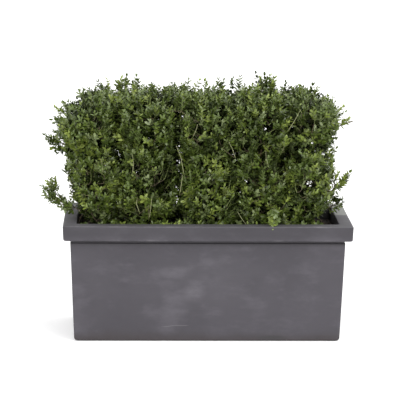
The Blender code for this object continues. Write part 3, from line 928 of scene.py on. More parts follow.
def throw_tips():
    """Tips with the outward direction under each, by mass."""
    spacing = Spacing(0.03)
    tips = {mass: [] for mass in CROWN_MASSES}
    for mass in CROWN_MASSES:
        corners, area = mass_corners[mass], sizes[mass]
        count = round(area.sum() * THROWS_PER_M2)
        chosen = chance.choice(len(corners), count, p=area / area.sum())
        u, v = chance.random((2, count))
        u, v = np.where(u + v > 1, 1 - u, u), np.where(u + v > 1, 1 - v, v)
        for triangle, a, b, luck in zip(corners[chosen], u, v, chance.random((count, 5))):
            place = triangle[0] + a * (triangle[1] - triangle[0]) + b * (triangle[2] - triangle[0])
            normal = np.cross(triangle[1] - triangle[0], triangle[2] - triangle[0])
            normal /= np.linalg.norm(normal)
            depth, way = way_out(Vector(place))
            if depth > HEART_DEPTH or (depth > SEAM_DEPTH and luck[4] > HEART_SHARE):
                continue
            if SKIN_DEPTH < depth < SEAM_DEPTH:
                normal = np.array(way)
            if normal[2] < -0.5 and luck[0] > UNDERSIDE_SHARE:
                continue
            if np.linalg.norm((place - CLEFT["middle"]) / CLEFT["half"]) < 1 and luck[1] > CLEFT_SHARE:
                continue
            share, reach = ((PROUD_TOP_SHARE, PROUD_TOP_REACH) if normal[2] > 0.6
                            else (PROUD_SHARE, PROUD_REACH))
            sink = MEAN_SINK + DEEP_SINK * luck[2] ** 3 + DENTS * noise.noise(Vector(place) * 13)
            if depth > SEAM_DEPTH:
                sink = -SEAM_CROSSING
            elif depth > SKIN_DEPTH:
                sink = -SEAM_FILL * min(depth, 0.030)
            elif luck[4] < INNER_SHARE:
                sink = INNER_SINK[0] + (INNER_SINK[1] - INNER_SINK[0]) * luck[2]
            elif luck[3] < share:
                sink = -reach * luck[3] / share
            sink += bite(place) + (TOP_SINK if normal[2] > 0.6 else 0)
            tip = place - normal * sink
            if sink > INNER_SINK[0] and way_out(Vector(tip))[0] < 1.1 * bite(tip):
                continue
            if spacing.take(tip, TIP_SPACING * (1 + 0.4 * max(sink, 0) / DEEP_SINK)):
                tips[mass].append((tip, normal, depth if depth > SEAM_DEPTH else sink))
    return tips


CURTAINS = [  # lowest and highest corners, in mm, where the masses part, and how many shoots cross there
    ((-140, -90, 560), (-80, 170, 850), 150), ((-335, -120, 560), (-290, 160, 820), 110),
    ((30, -100, 520), (110, 150, 800), 90), ((250, -100, 520), (300, 150, 780), 60),
    ((-450, -80, 560), (-380, 150, 760), 60)]
middle_of = {mass: np.array(sum(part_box(mass + "_mass"), Vector()) / 2) for mass in CROWN_MASSES}


def metres(millimetres):
    """A table of millimetres in metres."""
    return np.array(millimetres) / 1000


def mass_at(place):
    """The mass whose middle is nearest to a place."""
    return min(CROWN_MASSES, key=lambda name: np.linalg.norm(middle_of[name] - place))


def draw_curtains(tips):
    """Shoots inside the crown that close the view through its seams."""
    for low, high, count in CURTAINS:
        for place in chance.uniform(metres(low), metres(high), (count, 3)):
            outward = place - middle_of[mass_at(place)]
            tips[mass_at(place)].append((place, outward / np.linalg.norm(outward), DEEP_SINK))


SKIRTS = [  # the same for the low shoots that lean on the rim, in front and behind, and for the seams
    ((-430, -165, 400), (380, -110, 422), 130), ((-430, 110, 400), (380, 165, 422), 90),
    ((-150, -140, 846), (-62, 140, 862), 60)]
SKIRTS += [((x - 20, 168, 450), (x + 20, 186, 830), 40) for x in (-310, -110, 70, 275)]
BETWEEN_TOPS = 800              # skirts above this height, in mm, stand upright


def hang_skirts():
    """Shoots over the soil and in the seams at the back lean outwards, those between the tops stand."""
    tips = {mass: [] for mass in CROWN_MASSES}
    for low, high, count in SKIRTS:
        for place in chance.uniform(metres(low), metres(high), (count, 3)):
            outward = (0, 0, 1) if low[2] > BETWEEN_TOPS else (0, math.copysign(1, place[1]), 0)
            tips[mass_at(place)].append((place, np.array(outward, float), 0.0))
    return tips


tips = throw_tips()
draw_curtains(tips)
skirts = hang_skirts()
print("shoots:", sum(len(t) for t in tips.values()))

# %% [markdown]
# ## Shoots and the twigs that carry them
#
# A shoot leaves its twig level and turns up towards the light, so its tip points partly outwards and
# partly up. Its foot lies a shoot's length behind the tip. The feet are then the goals of the
# branching rule: from each bough's end the wood grows in short steps, every step towards the goals
# that are nearest to it, and forks where they pull apart. Box wood laid open looks much like it.

# %% Shoots
SHOOT_LENGTH = (0.040, 0.066)
OUTWARD_PULL, LIGHT_PULL, STRAY_PULL = 0.58, 0.85, 0.34
LEADER_SHARE, LEADER_LENGTH = 0.05, 1.8        # some shoots are long, and bare lower down
LEVEL_PULL, LEVEL_STRAY = 1.2, 0.15     # a shoot starts more level than it ends
OVER_SOIL = 0.012               # the lowest feet stand this far over the soil


def unit(vectors):
    """Vectors of length one."""
    return vectors / np.maximum(np.linalg.norm(vectors, axis=-1, keepdims=True), 1e-9)


def aim_shoots(tip_list):
    """Tips, directions at the tip and feet of a mass's shoots."""
    places = np.array([t[0] for t in tip_list])
    normals = np.array([t[1] for t in tip_list])
    normals[:, 2] = np.maximum(normals[:, 2], -0.3)
    stray = chance.normal(size=places.shape)
    ways = unit(normals * OUTWARD_PULL + np.array((0, 0, LIGHT_PULL)) + stray * STRAY_PULL)
    lengths = chance.uniform(*SHOOT_LENGTH, len(places))
    lengths = np.where(chance.random(len(places)) < LEADER_SHARE, lengths * LEADER_LENGTH, lengths)
    level = unit(normals * LEVEL_PULL + ways + chance.normal(size=places.shape) * LEVEL_STRAY)
    feet = places - (ways + level) / 2 * lengths[:, None]
    feet[:, 2] = np.maximum(feet[:, 2], SOIL_HIGH.z + OVER_SOIL)
    return places, ways, feet, np.array([t[2] for t in tip_list])


print("shoots are", " to ".join(str(round(length * 1000)) for length in SHOOT_LENGTH), "mm long")

# %% [markdown]
# The rule runs once for each bough. Where a twig has come near enough to a foot, the foot is grafted on
# and pulls no more. A twig is as thick as the number of shoots that it feeds asks for.

# %% The branching rule
GROWTH_STEP = 0.011
GRAFT_REACH = 0.013             # a foot this near to a twig is carried by it
KEEP_COURSE, WAVER = 0.9, 0.16
MOST_STEPS = 70


def branch_out(root, course, feet):
    """Grow wood from a root towards all feet: its joints, their parents and each foot's joint."""
    joints, parents, courses = [root], [-1], [course]
    nearest = np.zeros(len(feet), int)
    gap = np.linalg.norm(feet - root, axis=1)
    carrier = np.full(len(feet), -1)
    for step in range(MOST_STEPS):
        carrier = np.where((carrier < 0) & (gap < GRAFT_REACH), nearest, carrier)
        waiting = np.flatnonzero(carrier < 0)
        if not len(waiting):
            break
        fresh = []
        for joint in np.unique(nearest[waiting]):
            mine = waiting[nearest[waiting] == joint]
            pull = unit(feet[mine] - joints[joint]).mean(axis=0)
            way = unit(pull + KEEP_COURSE * courses[joint] * np.linalg.norm(pull)
                       + chance.normal(size=3) * WAVER)
            fresh.append((joints[joint] + way * GROWTH_STEP, joint, way))
        for place, joint, way in fresh:
            distance = np.linalg.norm(feet - place, axis=1)
            closer = distance < gap
            nearest = np.where(closer, len(joints), nearest)
            gap = np.minimum(gap, distance)
            joints.append(place)
            parents.append(joint)
            courses.append(way)
    carrier = np.where(carrier < 0, nearest, carrier)
    return np.array(joints), np.array(parents), np.array(courses), carrier


TWIG_END, PIPE_POWER = 0.0008, 0.30     # a twig's radius grows as this power of the shoots it feeds


def twig_chains(joints, parents, carrier, thickest):
    """Cut the grown wood into unforked lines with radii, each begun on its parent."""
    load = np.bincount(carrier, minlength=len(joints)).astype(float)
    for joint in range(len(joints) - 1, 0, -1):
        load[parents[joint]] += load[joint]
    radius = np.minimum(TWIG_END * np.maximum(load, 1) ** PIPE_POWER, thickest)
    heir = {}
    for joint in range(1, len(joints)):
        if load[joint] > 0 and load[joint] > load[heir.get(parents[joint], joint)] - 0.5:
            heir[parents[joint]] = joint
    chains = []
    for joint in range(len(joints)):
        if load[joint] == 0 or (joint > 0 and heir.get(parents[joint]) == joint):
            continue
        line = [joint] if joint == 0 else [parents[joint], joint]
        while line[-1] in heir:
            line.append(heir[line[-1]])
        width = radius[line]
        width[0] = width[min(1, len(width) - 1)]
        if len(line) > 1:
            chains.append((joints[line], width))
    return chains


STRAY_REACH = 0.012             # wood further outside the crown than this would show bare


def under_the_skin(places, reach):
    """True for places inside the crown, or outside it by less than a reach."""
    return np.array([way_out(Vector(place))[0] > -reach for place in places])


grown = {}
for mass in CROWN_MASSES:
    centres, radii = BOUGH_LINES[mass]
    tip_places, ways, feet, sinks = aim_shoots(tips[mass] + skirts[mass])
    course = unit(centres[-1] - centres[-2])
    kept = under_the_skin(feet, STRAY_REACH) & under_the_skin(tip_places, 2.5 * STRAY_REACH)
    kept[len(tips[mass]):] = True
    tip_places, ways, feet, sinks = tip_places[kept], ways[kept], feet[kept], sinks[kept]
    joints, parents, courses, carrier = branch_out(centres[-1], course, feet)
    chains = twig_chains(joints, parents, carrier, radii[-1])
    starts = joints[carrier]
    grown[mass] = {"chains": chains, "tips": tip_places, "ways": ways, "starts": starts, "sinks": sinks,
                   "courses": unit(courses[carrier] * 0.6 + unit(tip_places - starts))}
print("twig lines:", sum(len(g["chains"]) for g in grown.values()))

# %% [markdown]
# Some shoots missed the shears. They are what the eye knows the outline by, so each has its own foot
# and tip. A shoot's foot is joined to the nearest wood by a thin twig. The big sprays at the sides
# hang on the twigs that the frame holds, and each of their shoots has a neighbour a little before or
# behind it, so that the spray is as deep as it is wide.


# %% Shoots that missed the shears
SPRAY_SHOOTS = {  # for each spray the depth of its middle, and its shoots' tips and feet as x and z, in mm
    "left_upper_spray": (-45, [
        (-573, 706, -528, 684), (-568, 690, -528, 678), (-542, 706, -519, 680), (-524, 704, -508, 678),
        (-549, 671, -510, 676), (-545, 651, -505, 664), (-528, 637, -498, 656),
        (-514, 662, -490, 665)]),
    "left_low_spray": (-90, [
        (-579, 535, -534, 497), (-572, 512, -534, 489), (-562, 553, -534, 511), (-548, 562, -530, 514),
        (-532, 564, -522, 510), (-555, 528, -527, 493), (-548, 472, -513, 480), (-538, 492, -508, 476),
        (-506, 500, -497, 466), (-492, 497, -490, 463), (-521, 457, -490, 462), (-510, 450, -486, 459),
        (-493, 441, -476, 458), (-476, 488, -470, 455), (-500, 474, -485, 455), (-530, 480, -505, 470),
        (-516, 507, -505, 475), (-545, 522, -525, 488), (-564, 498, -535, 482),
        (-484, 447, -470, 452)]),
    "right_low_spray": (-70, [
        (498, 587, 466, 540), (488, 578, 462, 536), (481, 549, 452, 522), (457, 585, 438, 545),
        (438, 606, 425, 560), (466, 556, 440, 520)]),
    "right_foot_spray": (-32, [
        (481, 484, 450, 462), (473, 452, 440, 450), (462, 500, 440, 462), (486, 468, 455, 456),
        (448, 516, 430, 470), (452, 430, 428, 442)]),
    "right_upper_spray": (-30, [
        (505, 768, 462, 748), (489, 747, 455, 736)]),
    "top_left_tuft": (25, [
        (-301, 901, -298, 854), (-282, 908, -288, 866), (-316, 882, -304, 848),
        (-276, 888, -287, 856)]),
    "top_right_tuft": (40, [
        (183, 902, 196, 860), (200, 912, 204, 862), (220, 910, 214, 862), (236, 902, 222, 858),
        (190, 885, 200, 850), (228, 884, 220, 848)]),
}
SINGLE_SHOOTS = [  # x, y, z of each tip and foot, in mm
    (-249, 20, 909, -245, 20, 858), (-349, 20, 895, -347, 20, 851), (-386, 50, 884, -372, 50, 843),
    (-448, 0, 857, -431, 0, 825), (-506, 0, 814, -484, 0, 782), (-538, 20, 795, -505, 20, 772),
    (-547, -10, 750, -510, -10, 756), (-538, 10, 735, -505, 10, 746), (-63, 30, 904, -80, 30, 848),
    (-25, 0, 898, -49, 0, 858), (-13, -30, 900, 0, -30, 858), (35, 0, 901, 42, 0, 858),
    (56, 30, 895, 49, 30, 856), (84, 0, 904, 88, 0, 858), (113, 20, 909, 106, 20, 859),
    (165, 10, 922, 188, 10, 865), (270, 0, 894, 268, 0, 852), (324, 20, 885, 321, 20, 842),
    (371, 30, 878, 357, 30, 838), (388, 0, 874, 369, 0, 834), (422, 0, 842, 398, 0, 815),
    (450, 0, 822, 419, 0, 795), (479, 0, 803, 444, 0, 782), (486, -20, 789, 452, -20, 772),
    (459, 0, 656, 430, 0, 642), (452, -20, 637, 424, -20, 628), (220, -212, 412, 226, -170, 448),
    (233, -206, 424, 232, -168, 455), (212, -206, 434, 220, -165, 460),
    (226, -204, 450, 224, -162, 470)]
NEIGHBOUR_SCATTER = (0.006, 0.013, 0.006)
NEIGHBOUR_LOWER = 0.22          # how much lower a neighbour ends, as a share of its shoot
STAND_OUT = 0.050
TIP_LEAF_REACH = 0.009          # how far the last leaves stand over a shoot's tip
LINK_SAG = 0.12                 # how low the twig to a foot hangs, over its length
LINK_RADII = (0.0011, 0.0010, TWIG_END)
LIGHT_BEND, LINK_BEND = 0.35, 0.3       # how much a shoot turns to the light, and starts like its twig


def stand_out(tips_and_feet, wood):
    """Shoots between given feet and tips, with a twig from the nearest wood to every foot."""
    tip_places = np.array([tip for tip, foot in tips_and_feet])
    feet = np.array([foot for tip, foot in tips_and_feet])
    tip_places = tip_places - unit(tip_places - feet) * TIP_LEAF_REACH
    joints = wood[np.argmin(np.linalg.norm(wood[None] - feet[:, None], axis=2), axis=1)]
    rise = unit(tip_places - feet)
    middles = (joints + feet) / 2 - rise * LINK_SAG * np.linalg.norm(feet - joints, axis=1)[:, None]
    chains = [(np.array(line), np.array(LINK_RADII)) for line in zip(joints, middles, feet)]
    return {"chains": chains, "tips": tip_places, "ways": unit(rise + np.array((0, 0, LIGHT_BEND))),
            "starts": feet, "courses": unit(rise + unit(feet - joints) * LINK_BEND),
            "sinks": np.full(len(feet), -STAND_OUT)}


def spray_shoots(spray):
    """A spray's shoots and their neighbours, as tips and feet."""
    depth, shoots = SPRAY_SHOOTS[spray]
    found = []
    for tip_x, tip_z, foot_x, foot_z in shoots:
        near = chance.normal(size=(2, 3)) * NEIGHBOUR_SCATTER * 0.4
        tip, foot = metres((tip_x, depth, tip_z)), metres((foot_x, depth, foot_z))
        found.append((tip + near[0] * (0.3, 1, 0.3), foot + near[1]))
        if len(shoots) > 2:
            side = 1 if len(found) % 4 < 2 else -1
            away = (0.4 + abs(chance.normal(size=3))) * NEIGHBOUR_SCATTER * (1, side, 1)
            lower_tip = tip + (foot - tip) * NEIGHBOUR_LOWER
            found.append((lower_tip + away * (0.5 * side, 1, -0.5), foot + away * (0, 0.6, 0)))
    return found


def join(host, extra):
    """Add shoots or leaves to those of a host."""
    for name, values in extra.items():
        both = host[name], values
        host[name] = sum(both, []) if isinstance(values, list) else np.concatenate(both)


for spray in SPRAYS:
    grown[spray] = stand_out(spray_shoots(spray), smooth_line(*SPRAY_LINES[spray])[0])
wood_of = {mass: np.concatenate([line for line, thick in grown[mass]["chains"]]) for mass in CROWN_MASSES}
for single in metres(SINGLE_SHOOTS):
    tip, foot = single[:3], single[3:]
    host = min(CROWN_MASSES, key=lambda mass: np.linalg.norm(wood_of[mass] - foot, axis=1).min())
    join(grown[host], stand_out([(tip, foot)], wood_of[host]))
print("shoots in sprays:", sum(len(grown[s]["tips"]) for s in SPRAYS), "single shoots:", len(SINGLE_SHOOTS))

# %% [markdown]
# Each shoot is a cubic curve: it leaves its twig along the twig's course and arrives at its tip along
# the way it grows. The curve is followed by a formula, so points and leaves can be laid on it alike.


# %% Curves of the shoots
FIRST_HANDLE, LAST_HANDLE = 0.30, 0.38     # the curve's handles, as shares of its straight span
CURVE_OVER_SPAN = 1.03          # the curve's length over its straight span


def follow(shoots, share):
    """Places and directions on every shoot's curve at a share of its length, from 0 to 1."""
    start, stop = shoots["starts"], shoots["tips"]
    span = np.linalg.norm(stop - start, axis=1)[:, None]
    first = start + shoots["courses"] * span * FIRST_HANDLE
    last = stop - shoots["ways"] * span * LAST_HANDLE
    t = np.asarray(share, float).reshape(-1, 1)
    place = ((1 - t) ** 3 * start + 3 * (1 - t) ** 2 * t * first + 3 * (1 - t) * t ** 2 * last
             + t ** 3 * stop)
    slope = (3 * (1 - t) ** 2 * (first - start) + 6 * (1 - t) * t * (last - first)
             + 3 * t ** 2 * (stop - last))
    return place, unit(slope)


def measure_spans(shoots):
    """Note the length of every shoot's curve."""
    shoots["spans"] = np.linalg.norm(shoots["tips"] - shoots["starts"], axis=1) * CURVE_OVER_SPAN


for shoots in grown.values():
    measure_spans(shoots)
mean_span = np.mean(np.concatenate([g["spans"] for g in grown.values()]))
print("mean shoot length:", round(1000 * mean_span), "mm")

# %% [markdown]
# ## Openings
#
# In a few places the eye finds a way right through the hedge, and in others it falls into a dark
# pocket between two sprays. A way through only shows along one line of sight, so each is a narrow
# tunnel along that line that shoots and leaves keep out of. A pocket is a ball just under the surface.

# %% Gaps and pockets
GAPS = [  # x and z where the line of sight crosses the middle plane, and the tunnel's radius, in mm
    (-393, 756, 7.5), (-500, 763, 8.5), (-357, 598, 7.5), (-455, 603, 7), (366, 674, 7.5),
    (378, 607, 7), (363, 530, 12.5), (20, 535, 6)]
POCKETS = [  # x and z at the front face, and the radius, in mm
    (-319, 780, 22), (-184, 789, 13), (-64, 744, 11), (-40, 739, 17), (-33, 699, 14), (43, 694, 13),
    (290, 745, 15), (349, 757, 11), (247, 616, 20), (187, 654, 14), (197, 760, 11), (369, 688, 12),
    (302, 649, 13), (-407, 564, 13), (-249, 475, 12), (-242, 589, 10), (-389, 657, 10),
    (-193, 542, 14), (-372, 757, 11), (-144, 598, 18), (131, 567, 11), (325, 535, 12)]
POCKET_FACE, POCKET_LENGTH = -0.175, 3.0      # its middle's y, and its length over its width
STEMS_IN_VIEW = [  # x and z of the foot and the top of bare stems at the front face, in mm
    (271, 748, 311, 817), (205, 619, 194, 675), (-87, 600, -112, 690), (-98, 530, -91, 590),
    (-261, 600, -262, 660), (-362, 600, -369, 645), (-54, 725, -40, 765), (-238, 462, -245, 510),
    (-202, 445, -194, 515), (88, 655, 67, 705), (128, 420, 100, 462)]
STEM_FACE = -0.180
STEM_WINDOW = 0.0026
EYE = np.array(CAMERA_PLACE)


def off_sight(places, target):
    """Distances of places from the line of sight to a target."""
    return np.linalg.norm(np.cross(places - EYE, unit(np.array(target) - EYE)), axis=1)


def clear_of_pockets(places):
    """True for places that lie in no pocket and not in the cleft between the bushes."""
    clear = np.linalg.norm((places - CLEFT["middle"]) / (CLEFT["half"] * 0.80), axis=1) > 1
    for x, z, radius in metres(POCKETS):
        middle = np.array((x, POCKET_FACE, z))
        clear &= np.linalg.norm((places - middle) * (1, 1 / POCKET_LENGTH, 1), axis=1) > radius
    return clear


def clear_of_sight(places):
    """True for places that lie in no gap and not before a bare stem."""
    clear = np.full(len(places), True)
    for x, z, radius in metres(GAPS):
        clear &= off_sight(places, (x, 0.0, z)) > radius
    for foot_x, foot_z, top_x, top_z in metres(STEMS_IN_VIEW):
        for t in np.linspace(0.1, 0.9, 5):
            target = (foot_x + (top_x - foot_x) * t, STEM_FACE, foot_z + (top_z - foot_z) * t)
            clear &= (off_sight(places, target) > STEM_WINDOW) | (places[:, 1] > STEM_FACE)
    return clear


dropped = 0
for shoots in grown.values():
    whole = np.all([clear_of_pockets(follow(shoots, t)[0]) for t in (0.25, 0.5, 0.75, 1.0)], axis=0)
    dropped += int((~whole).sum())
    for name in ("tips", "ways", "starts", "courses", "sinks", "spans"):
        shoots[name] = shoots[name][whole]
print("shoots left out for pockets:", dropped)

# %% [markdown]
# ## Leaves
#
# Box leaves are oval, leathery and glossy, hardly two centimetres long, with a groove along the
# midrib. One leaf is six triangles: an outline of six points round one sunken point, shaded smooth.
# Three slightly different leaves are enough, since size, turn and tint vary too. They sit in pairs,
# each pair turned a right angle to the next, and turn their upper faces to the light.

# %% One leaf
LEAF_FORMS = [  # half width over length, groove, droop of the tip, lift of one side, place of the belly
    (0.225, 0.07, 0.04, 0.00, 0.36), (0.25, 0.04, 0.11, 0.05, 0.42), (0.205, 0.09, -0.05, -0.05, 0.32)]


def leaf_mesh(number, half_width, groove, droop, lift, belly):
    """A leaf one unit long along X with its upper face towards Z."""
    wide, narrow = belly - 0.12, belly + 0.36
    outline = [(0, 0, 0), (wide, -half_width, lift), (narrow, -half_width * 0.86, lift - droop / 2),
               (1, 0, -droop), (narrow, half_width * 0.86, -lift - droop / 2), (wide, half_width, -lift)]
    centre = (0.52, 0, -groove)
    mesh = bpy.data.meshes.new(f"box_leaf_{number}")
    mesh.from_pydata(outline + [centre], [], [(i, (i + 1) % 6, 6) for i in range(6)])
    mesh.shade_smooth()
    return mesh


leaf_forms = bpy.data.collections.new("leaf_forms")
for number, form in enumerate(LEAF_FORMS):
    leaf_forms.objects.link(bpy.data.objects.new(f"box_leaf_{number}", leaf_mesh(number, *form)))

# %% [markdown]
# The colour of a leaf goes with its age and its light, and the light is painted into plain tints:
# painted shade in the dark heart and shade greens of sunk shoots, painted reflection of the sky in a
# bluer and a greyer green dealt by luck, and painted light in two paler patches at the sides. The
# season's new sprays are yellow-green. Each tint is one plain colour, and whole shoots are dealt one
# tint, with a lighter one for the youngest pairs of some.

# %% Tints
LEAF_TINTS = {  # colour as displayed, roughness, gloss
    # the heart and shade tints are painted shade; the sky and grey sheen tints are painted reflection of
    # the white surround
    "heart_green": ((36, 45, 17), 0.60, 0.15),
    "shade_green": ((52, 64, 24), 0.45, 0.30),
    "deep_green": ((68, 83, 32), 0.34, 0.50),
    "box_green": ((86, 102, 41), 0.31, 0.55),
    "sky_green": ((96, 112, 59), 0.28, 0.60),
    "grey_green": ((112, 124, 79), 0.28, 0.60),
    "olive_green": ((105, 119, 50), 0.33, 0.55),
    "spring_green": ((117, 133, 59), 0.36, 0.50),
    "lime_green": ((131, 145, 66), 0.38, 0.50),
    "dry_brown": ((68, 54, 36), 0.60, 0.25),
}
TINT_NAMES = list(LEAF_TINTS)
LEAF_MATERIALS = []
for name, (colour, roughness, gloss) in LEAF_TINTS.items():
    LEAF_MATERIALS.append(new_finish("leaf_" + name, roughness, Base_Color=(*linear(*colour), 1.0))[0])
    shader = LEAF_MATERIALS[-1].node_tree.nodes["Principled BSDF"]
    shader.inputs["Specular IOR Level"].default_value = gloss
SHARES = np.array((0.02, 0.10, 0.20, 0.25, 0.15, 0.08, 0.13, 0.055, 0.015))
FRESH_SHARE = 0.50
FRESH = [  # x, z and radius of patches of new growth on the front, in mm
    (-3, 812, 30), (-143, 847, 18), (201, 685, 12), (116, 555, 25), (-276, 446, 30), (316, 556, 22),
    (231, 454, 20), (-389, 680, 22), (-304, 513, 30), (-383, 551, 20)]

HEART_SINK = 0.030              # shoots sunk deeper than this carry the dark tints of painted shade
# painted shade: depth shifts a shoot's luck towards the darker tints
PATCH_WEIGHT, SINK_WEIGHT = 0.30, 3.0   # how far slow noise and depth shift a shoot's luck
FRONT = -0.08                   # y of the shoots that the patches below colour
FRESH_LUCK = (0.84, 0.14)       # least luck and range on a fresh shoot
HEART_SHADE_SHARE = 0.6
DRY_SHARE = 0.05
PAINTED_LIGHT_PATCHES = [(-0.40, 0.66, 0.13, 0.34), (0.42, 0.60, 0.13, 0.36)]     # x, z, radius and how much painted light lifts the tints
DRY = [(-0.128, 0.650, 0.020), (0.302, 0.640, 0.018), (0.338, 0.512, 0.013)]    # x, z and radius


def deal_tints(shoots):
    """One tint for each shoot: painted shade where it is sunk, painted light in a few patches, and the rest
    by slow patches and by luck.
    """
    patch = np.array([noise.noise(Vector(p) * 11) for p in shoots["tips"]])
    luck = chance.random(len(patch))
    luck = luck + PATCH_WEIGHT * patch - SINK_WEIGHT * np.clip(shoots["sinks"], -STAND_OUT, 0.06)
    front = shoots["tips"][:, 1] < FRONT
    # painted light: shoots in these patches take lighter tints
    for x, z, radius, light_lift in PAINTED_LIGHT_PATCHES:
        off = np.hypot(shoots["tips"][:, 0] - x, shoots["tips"][:, 2] - z) / radius
        luck = luck + light_lift * np.maximum(1 - off, 0)
    for x, z, radius in metres(FRESH):
        near = np.hypot(shoots["tips"][:, 0] - x, shoots["tips"][:, 2] - z) < radius
        luck = np.where(near & front & (chance.random(len(luck)) < FRESH_SHARE),
                        FRESH_LUCK[0] + FRESH_LUCK[1] * chance.random(len(luck)), luck)
    tints = np.searchsorted(np.cumsum(SHARES), np.clip(luck, 0, 0.999)).clip(0, len(SHARES) - 1)
    # painted shade: sunk shoots take the heart or the shade tint
    sunk = shoots["sinks"] > HEART_SINK
    tints = np.where(sunk, np.where(chance.random(len(luck)) < HEART_SHADE_SHARE, 0, 1), tints)
    dry = chance.random(len(luck)) < DRY_SHARE * sunk
    for x, z, radius in DRY:
        dry |= front & (np.hypot(shoots["tips"][:, 0] - x, shoots["tips"][:, 2] - z) < radius)
    return np.where(dry & (shoots["sinks"] > 0.010), TINT_NAMES.index("dry_brown"), tints)


for shoots in grown.values():
    shoots["tints"] = deal_tints(shoots)
counts = np.bincount(np.concatenate([g["tints"] for g in grown.values()]), minlength=len(TINT_NAMES))
print("shoots by tint:", dict(zip(TINT_NAMES, counts.tolist())))

# %% [markdown]
# Leaves are laid on a shoot in pairs from the tip down, the youngest smallest. Each is turned until
# its upper face looks to the light, and left out where it would close a gap or a pocket.

# %% Places of the leaves
PAIR_GAP = 0.0068
LEAF_LENGTH = (0.0165, 0.0225)
LEAFY_LENGTH = (0.036, 0.062)
PAIR_COUNT = 9
LEAF_ANGLE = (38.0, 66.0)       # degrees between shoot and leaf
LIGHT_TURN = 0.60
LOST_SHARE = 0.07
YOUNG_SHARE, OLDER_SHARE = 0.30, 0.5    # shoots with a paler tip, and low leaves a tint darker
YOUNG_SIZES = (0.62, 0.82, 0.95)        # the three pairs at the tip over a full-grown pair
PROUD_GAP, PROUD_SIZE = 0.85, 0.8       # a shoot that stands out is leafier
TIP_SPLAY = 0.62                        # the pair at the tip is half closed
LIGHT_WAY = np.array((0.05, -0.08, 1.0))
LIGHT_STRAY = 0.30


def leaf_places(shoots):
    """Root, direction, upper face, size, form and tint of every leaf on a mass's shoots."""
    count = len(shoots["tips"])
    leafy = np.minimum(chance.uniform(*LEAFY_LENGTH, count), shoots["spans"])
    turn = chance.uniform(0, 2 * math.pi, count)
    full_size = chance.uniform(*LEAF_LENGTH, count)
    young = chance.random(count) < YOUNG_SHARE
    proud = shoots["sinks"] <= -STAND_OUT
    gap = np.where(proud, PAIR_GAP * PROUD_GAP, PAIR_GAP)
    found = {name: [] for name in ("root", "along", "face", "size", "shape", "tint")}
    for pair in range(PAIR_COUNT):
        back = 0.0015 + gap * (pair - 0.25 * (pair == 0)) * chance.uniform(0.85, 1.15, count)
        place, axis = follow(shoots, 1 - back / shoots["spans"])
        u = unit(np.cross(axis, np.array((0.31, 0.27, 0.91))))
        v = np.cross(axis, u)
        for hand in (0, 1):
            angle = turn + pair * math.pi / 2 + hand * math.pi + chance.normal(0, 0.25, count)
            out = u * np.cos(angle)[:, None] + v * np.sin(angle)[:, None]
            splay = np.radians(chance.uniform(*LEAF_ANGLE, count)) * (TIP_SPLAY if pair == 0 else 1.0)
            along = unit(axis * np.cos(splay)[:, None] + out * np.sin(splay)[:, None])
            face = axis - along * (axis * along).sum(axis=1)[:, None]
            light = LIGHT_WAY + chance.normal(size=(count, 3)) * LIGHT_STRAY
            face = unit(face) + LIGHT_TURN * light
            face = unit(face - along * (face * along).sum(axis=1)[:, None])
            grown_share = YOUNG_SIZES[pair] if pair < len(YOUNG_SIZES) else 1.0
            size = full_size * np.where(proud, max(grown_share, PROUD_SIZE), grown_share)
            size *= chance.uniform(0.88, 1.10, count)
            green = shoots["tints"] < TINT_NAMES.index("spring_green")
            older = (pair > 3) & (chance.random(count) < OLDER_SHARE) & (shoots["tints"] > 1)
            tint = shoots["tints"] + 1 * (young & green & (pair < 3)) - 1 * (green & older)
            keep = (back < leafy) & (chance.random(count) > LOST_SHARE)
            for spot in (place, place + along * size[:, None]):
                keep &= clear_of_pockets(spot) & clear_of_sight(spot)
            for name, values in zip(found, (place, along, face, size,
                                            chance.integers(0, len(LEAF_FORMS), count), tint)):
                found[name].append(values[keep])
    return {name: np.concatenate(parts) for name, parts in found.items()}


leaves = {mass: leaf_places(shoots) for mass, shoots in grown.items()}
print("leaves:", sum(len(f["size"]) for f in leaves.values()))

# %% [markdown]
# Shoots grow where light comes in, so a hedge closes itself. The same rule here: every leaf is carried
# along the line of sight to the middle plane and marks the cells that it hides. A cell that stays
# open, although much of the crown lies along its line, gets a heart shoot with the dark tints of
# painted shade, unless it is a gap.

# %% Close the chance holes
SIGHT_CELL = 0.001
SIGHT_LOW, SIGHT_HIGH = np.array((-0.445, 0.440)), np.array((0.405, 0.835))      # x and z
SIGHT_CELLS = tuple(np.ceil((SIGHT_HIGH - SIGHT_LOW) / SIGHT_CELL).astype(int))
HOLE_REACH = 40                 # cells within which leaves enclose a hole on all four sides
HOLE_WIDTH = 2                  # cells, as a narrower hole is lost in the glitter of the leaves
CLOSING_ROUNDS, CLOSING_SPACING, GAP_MARGIN = 3, 0.006, 0.004
CLOSING_DEPTH = (-0.05, 0.10)   # how far behind the middle plane
CLOSING_LENGTH, CLOSING_SCATTER = 0.030, 0.006


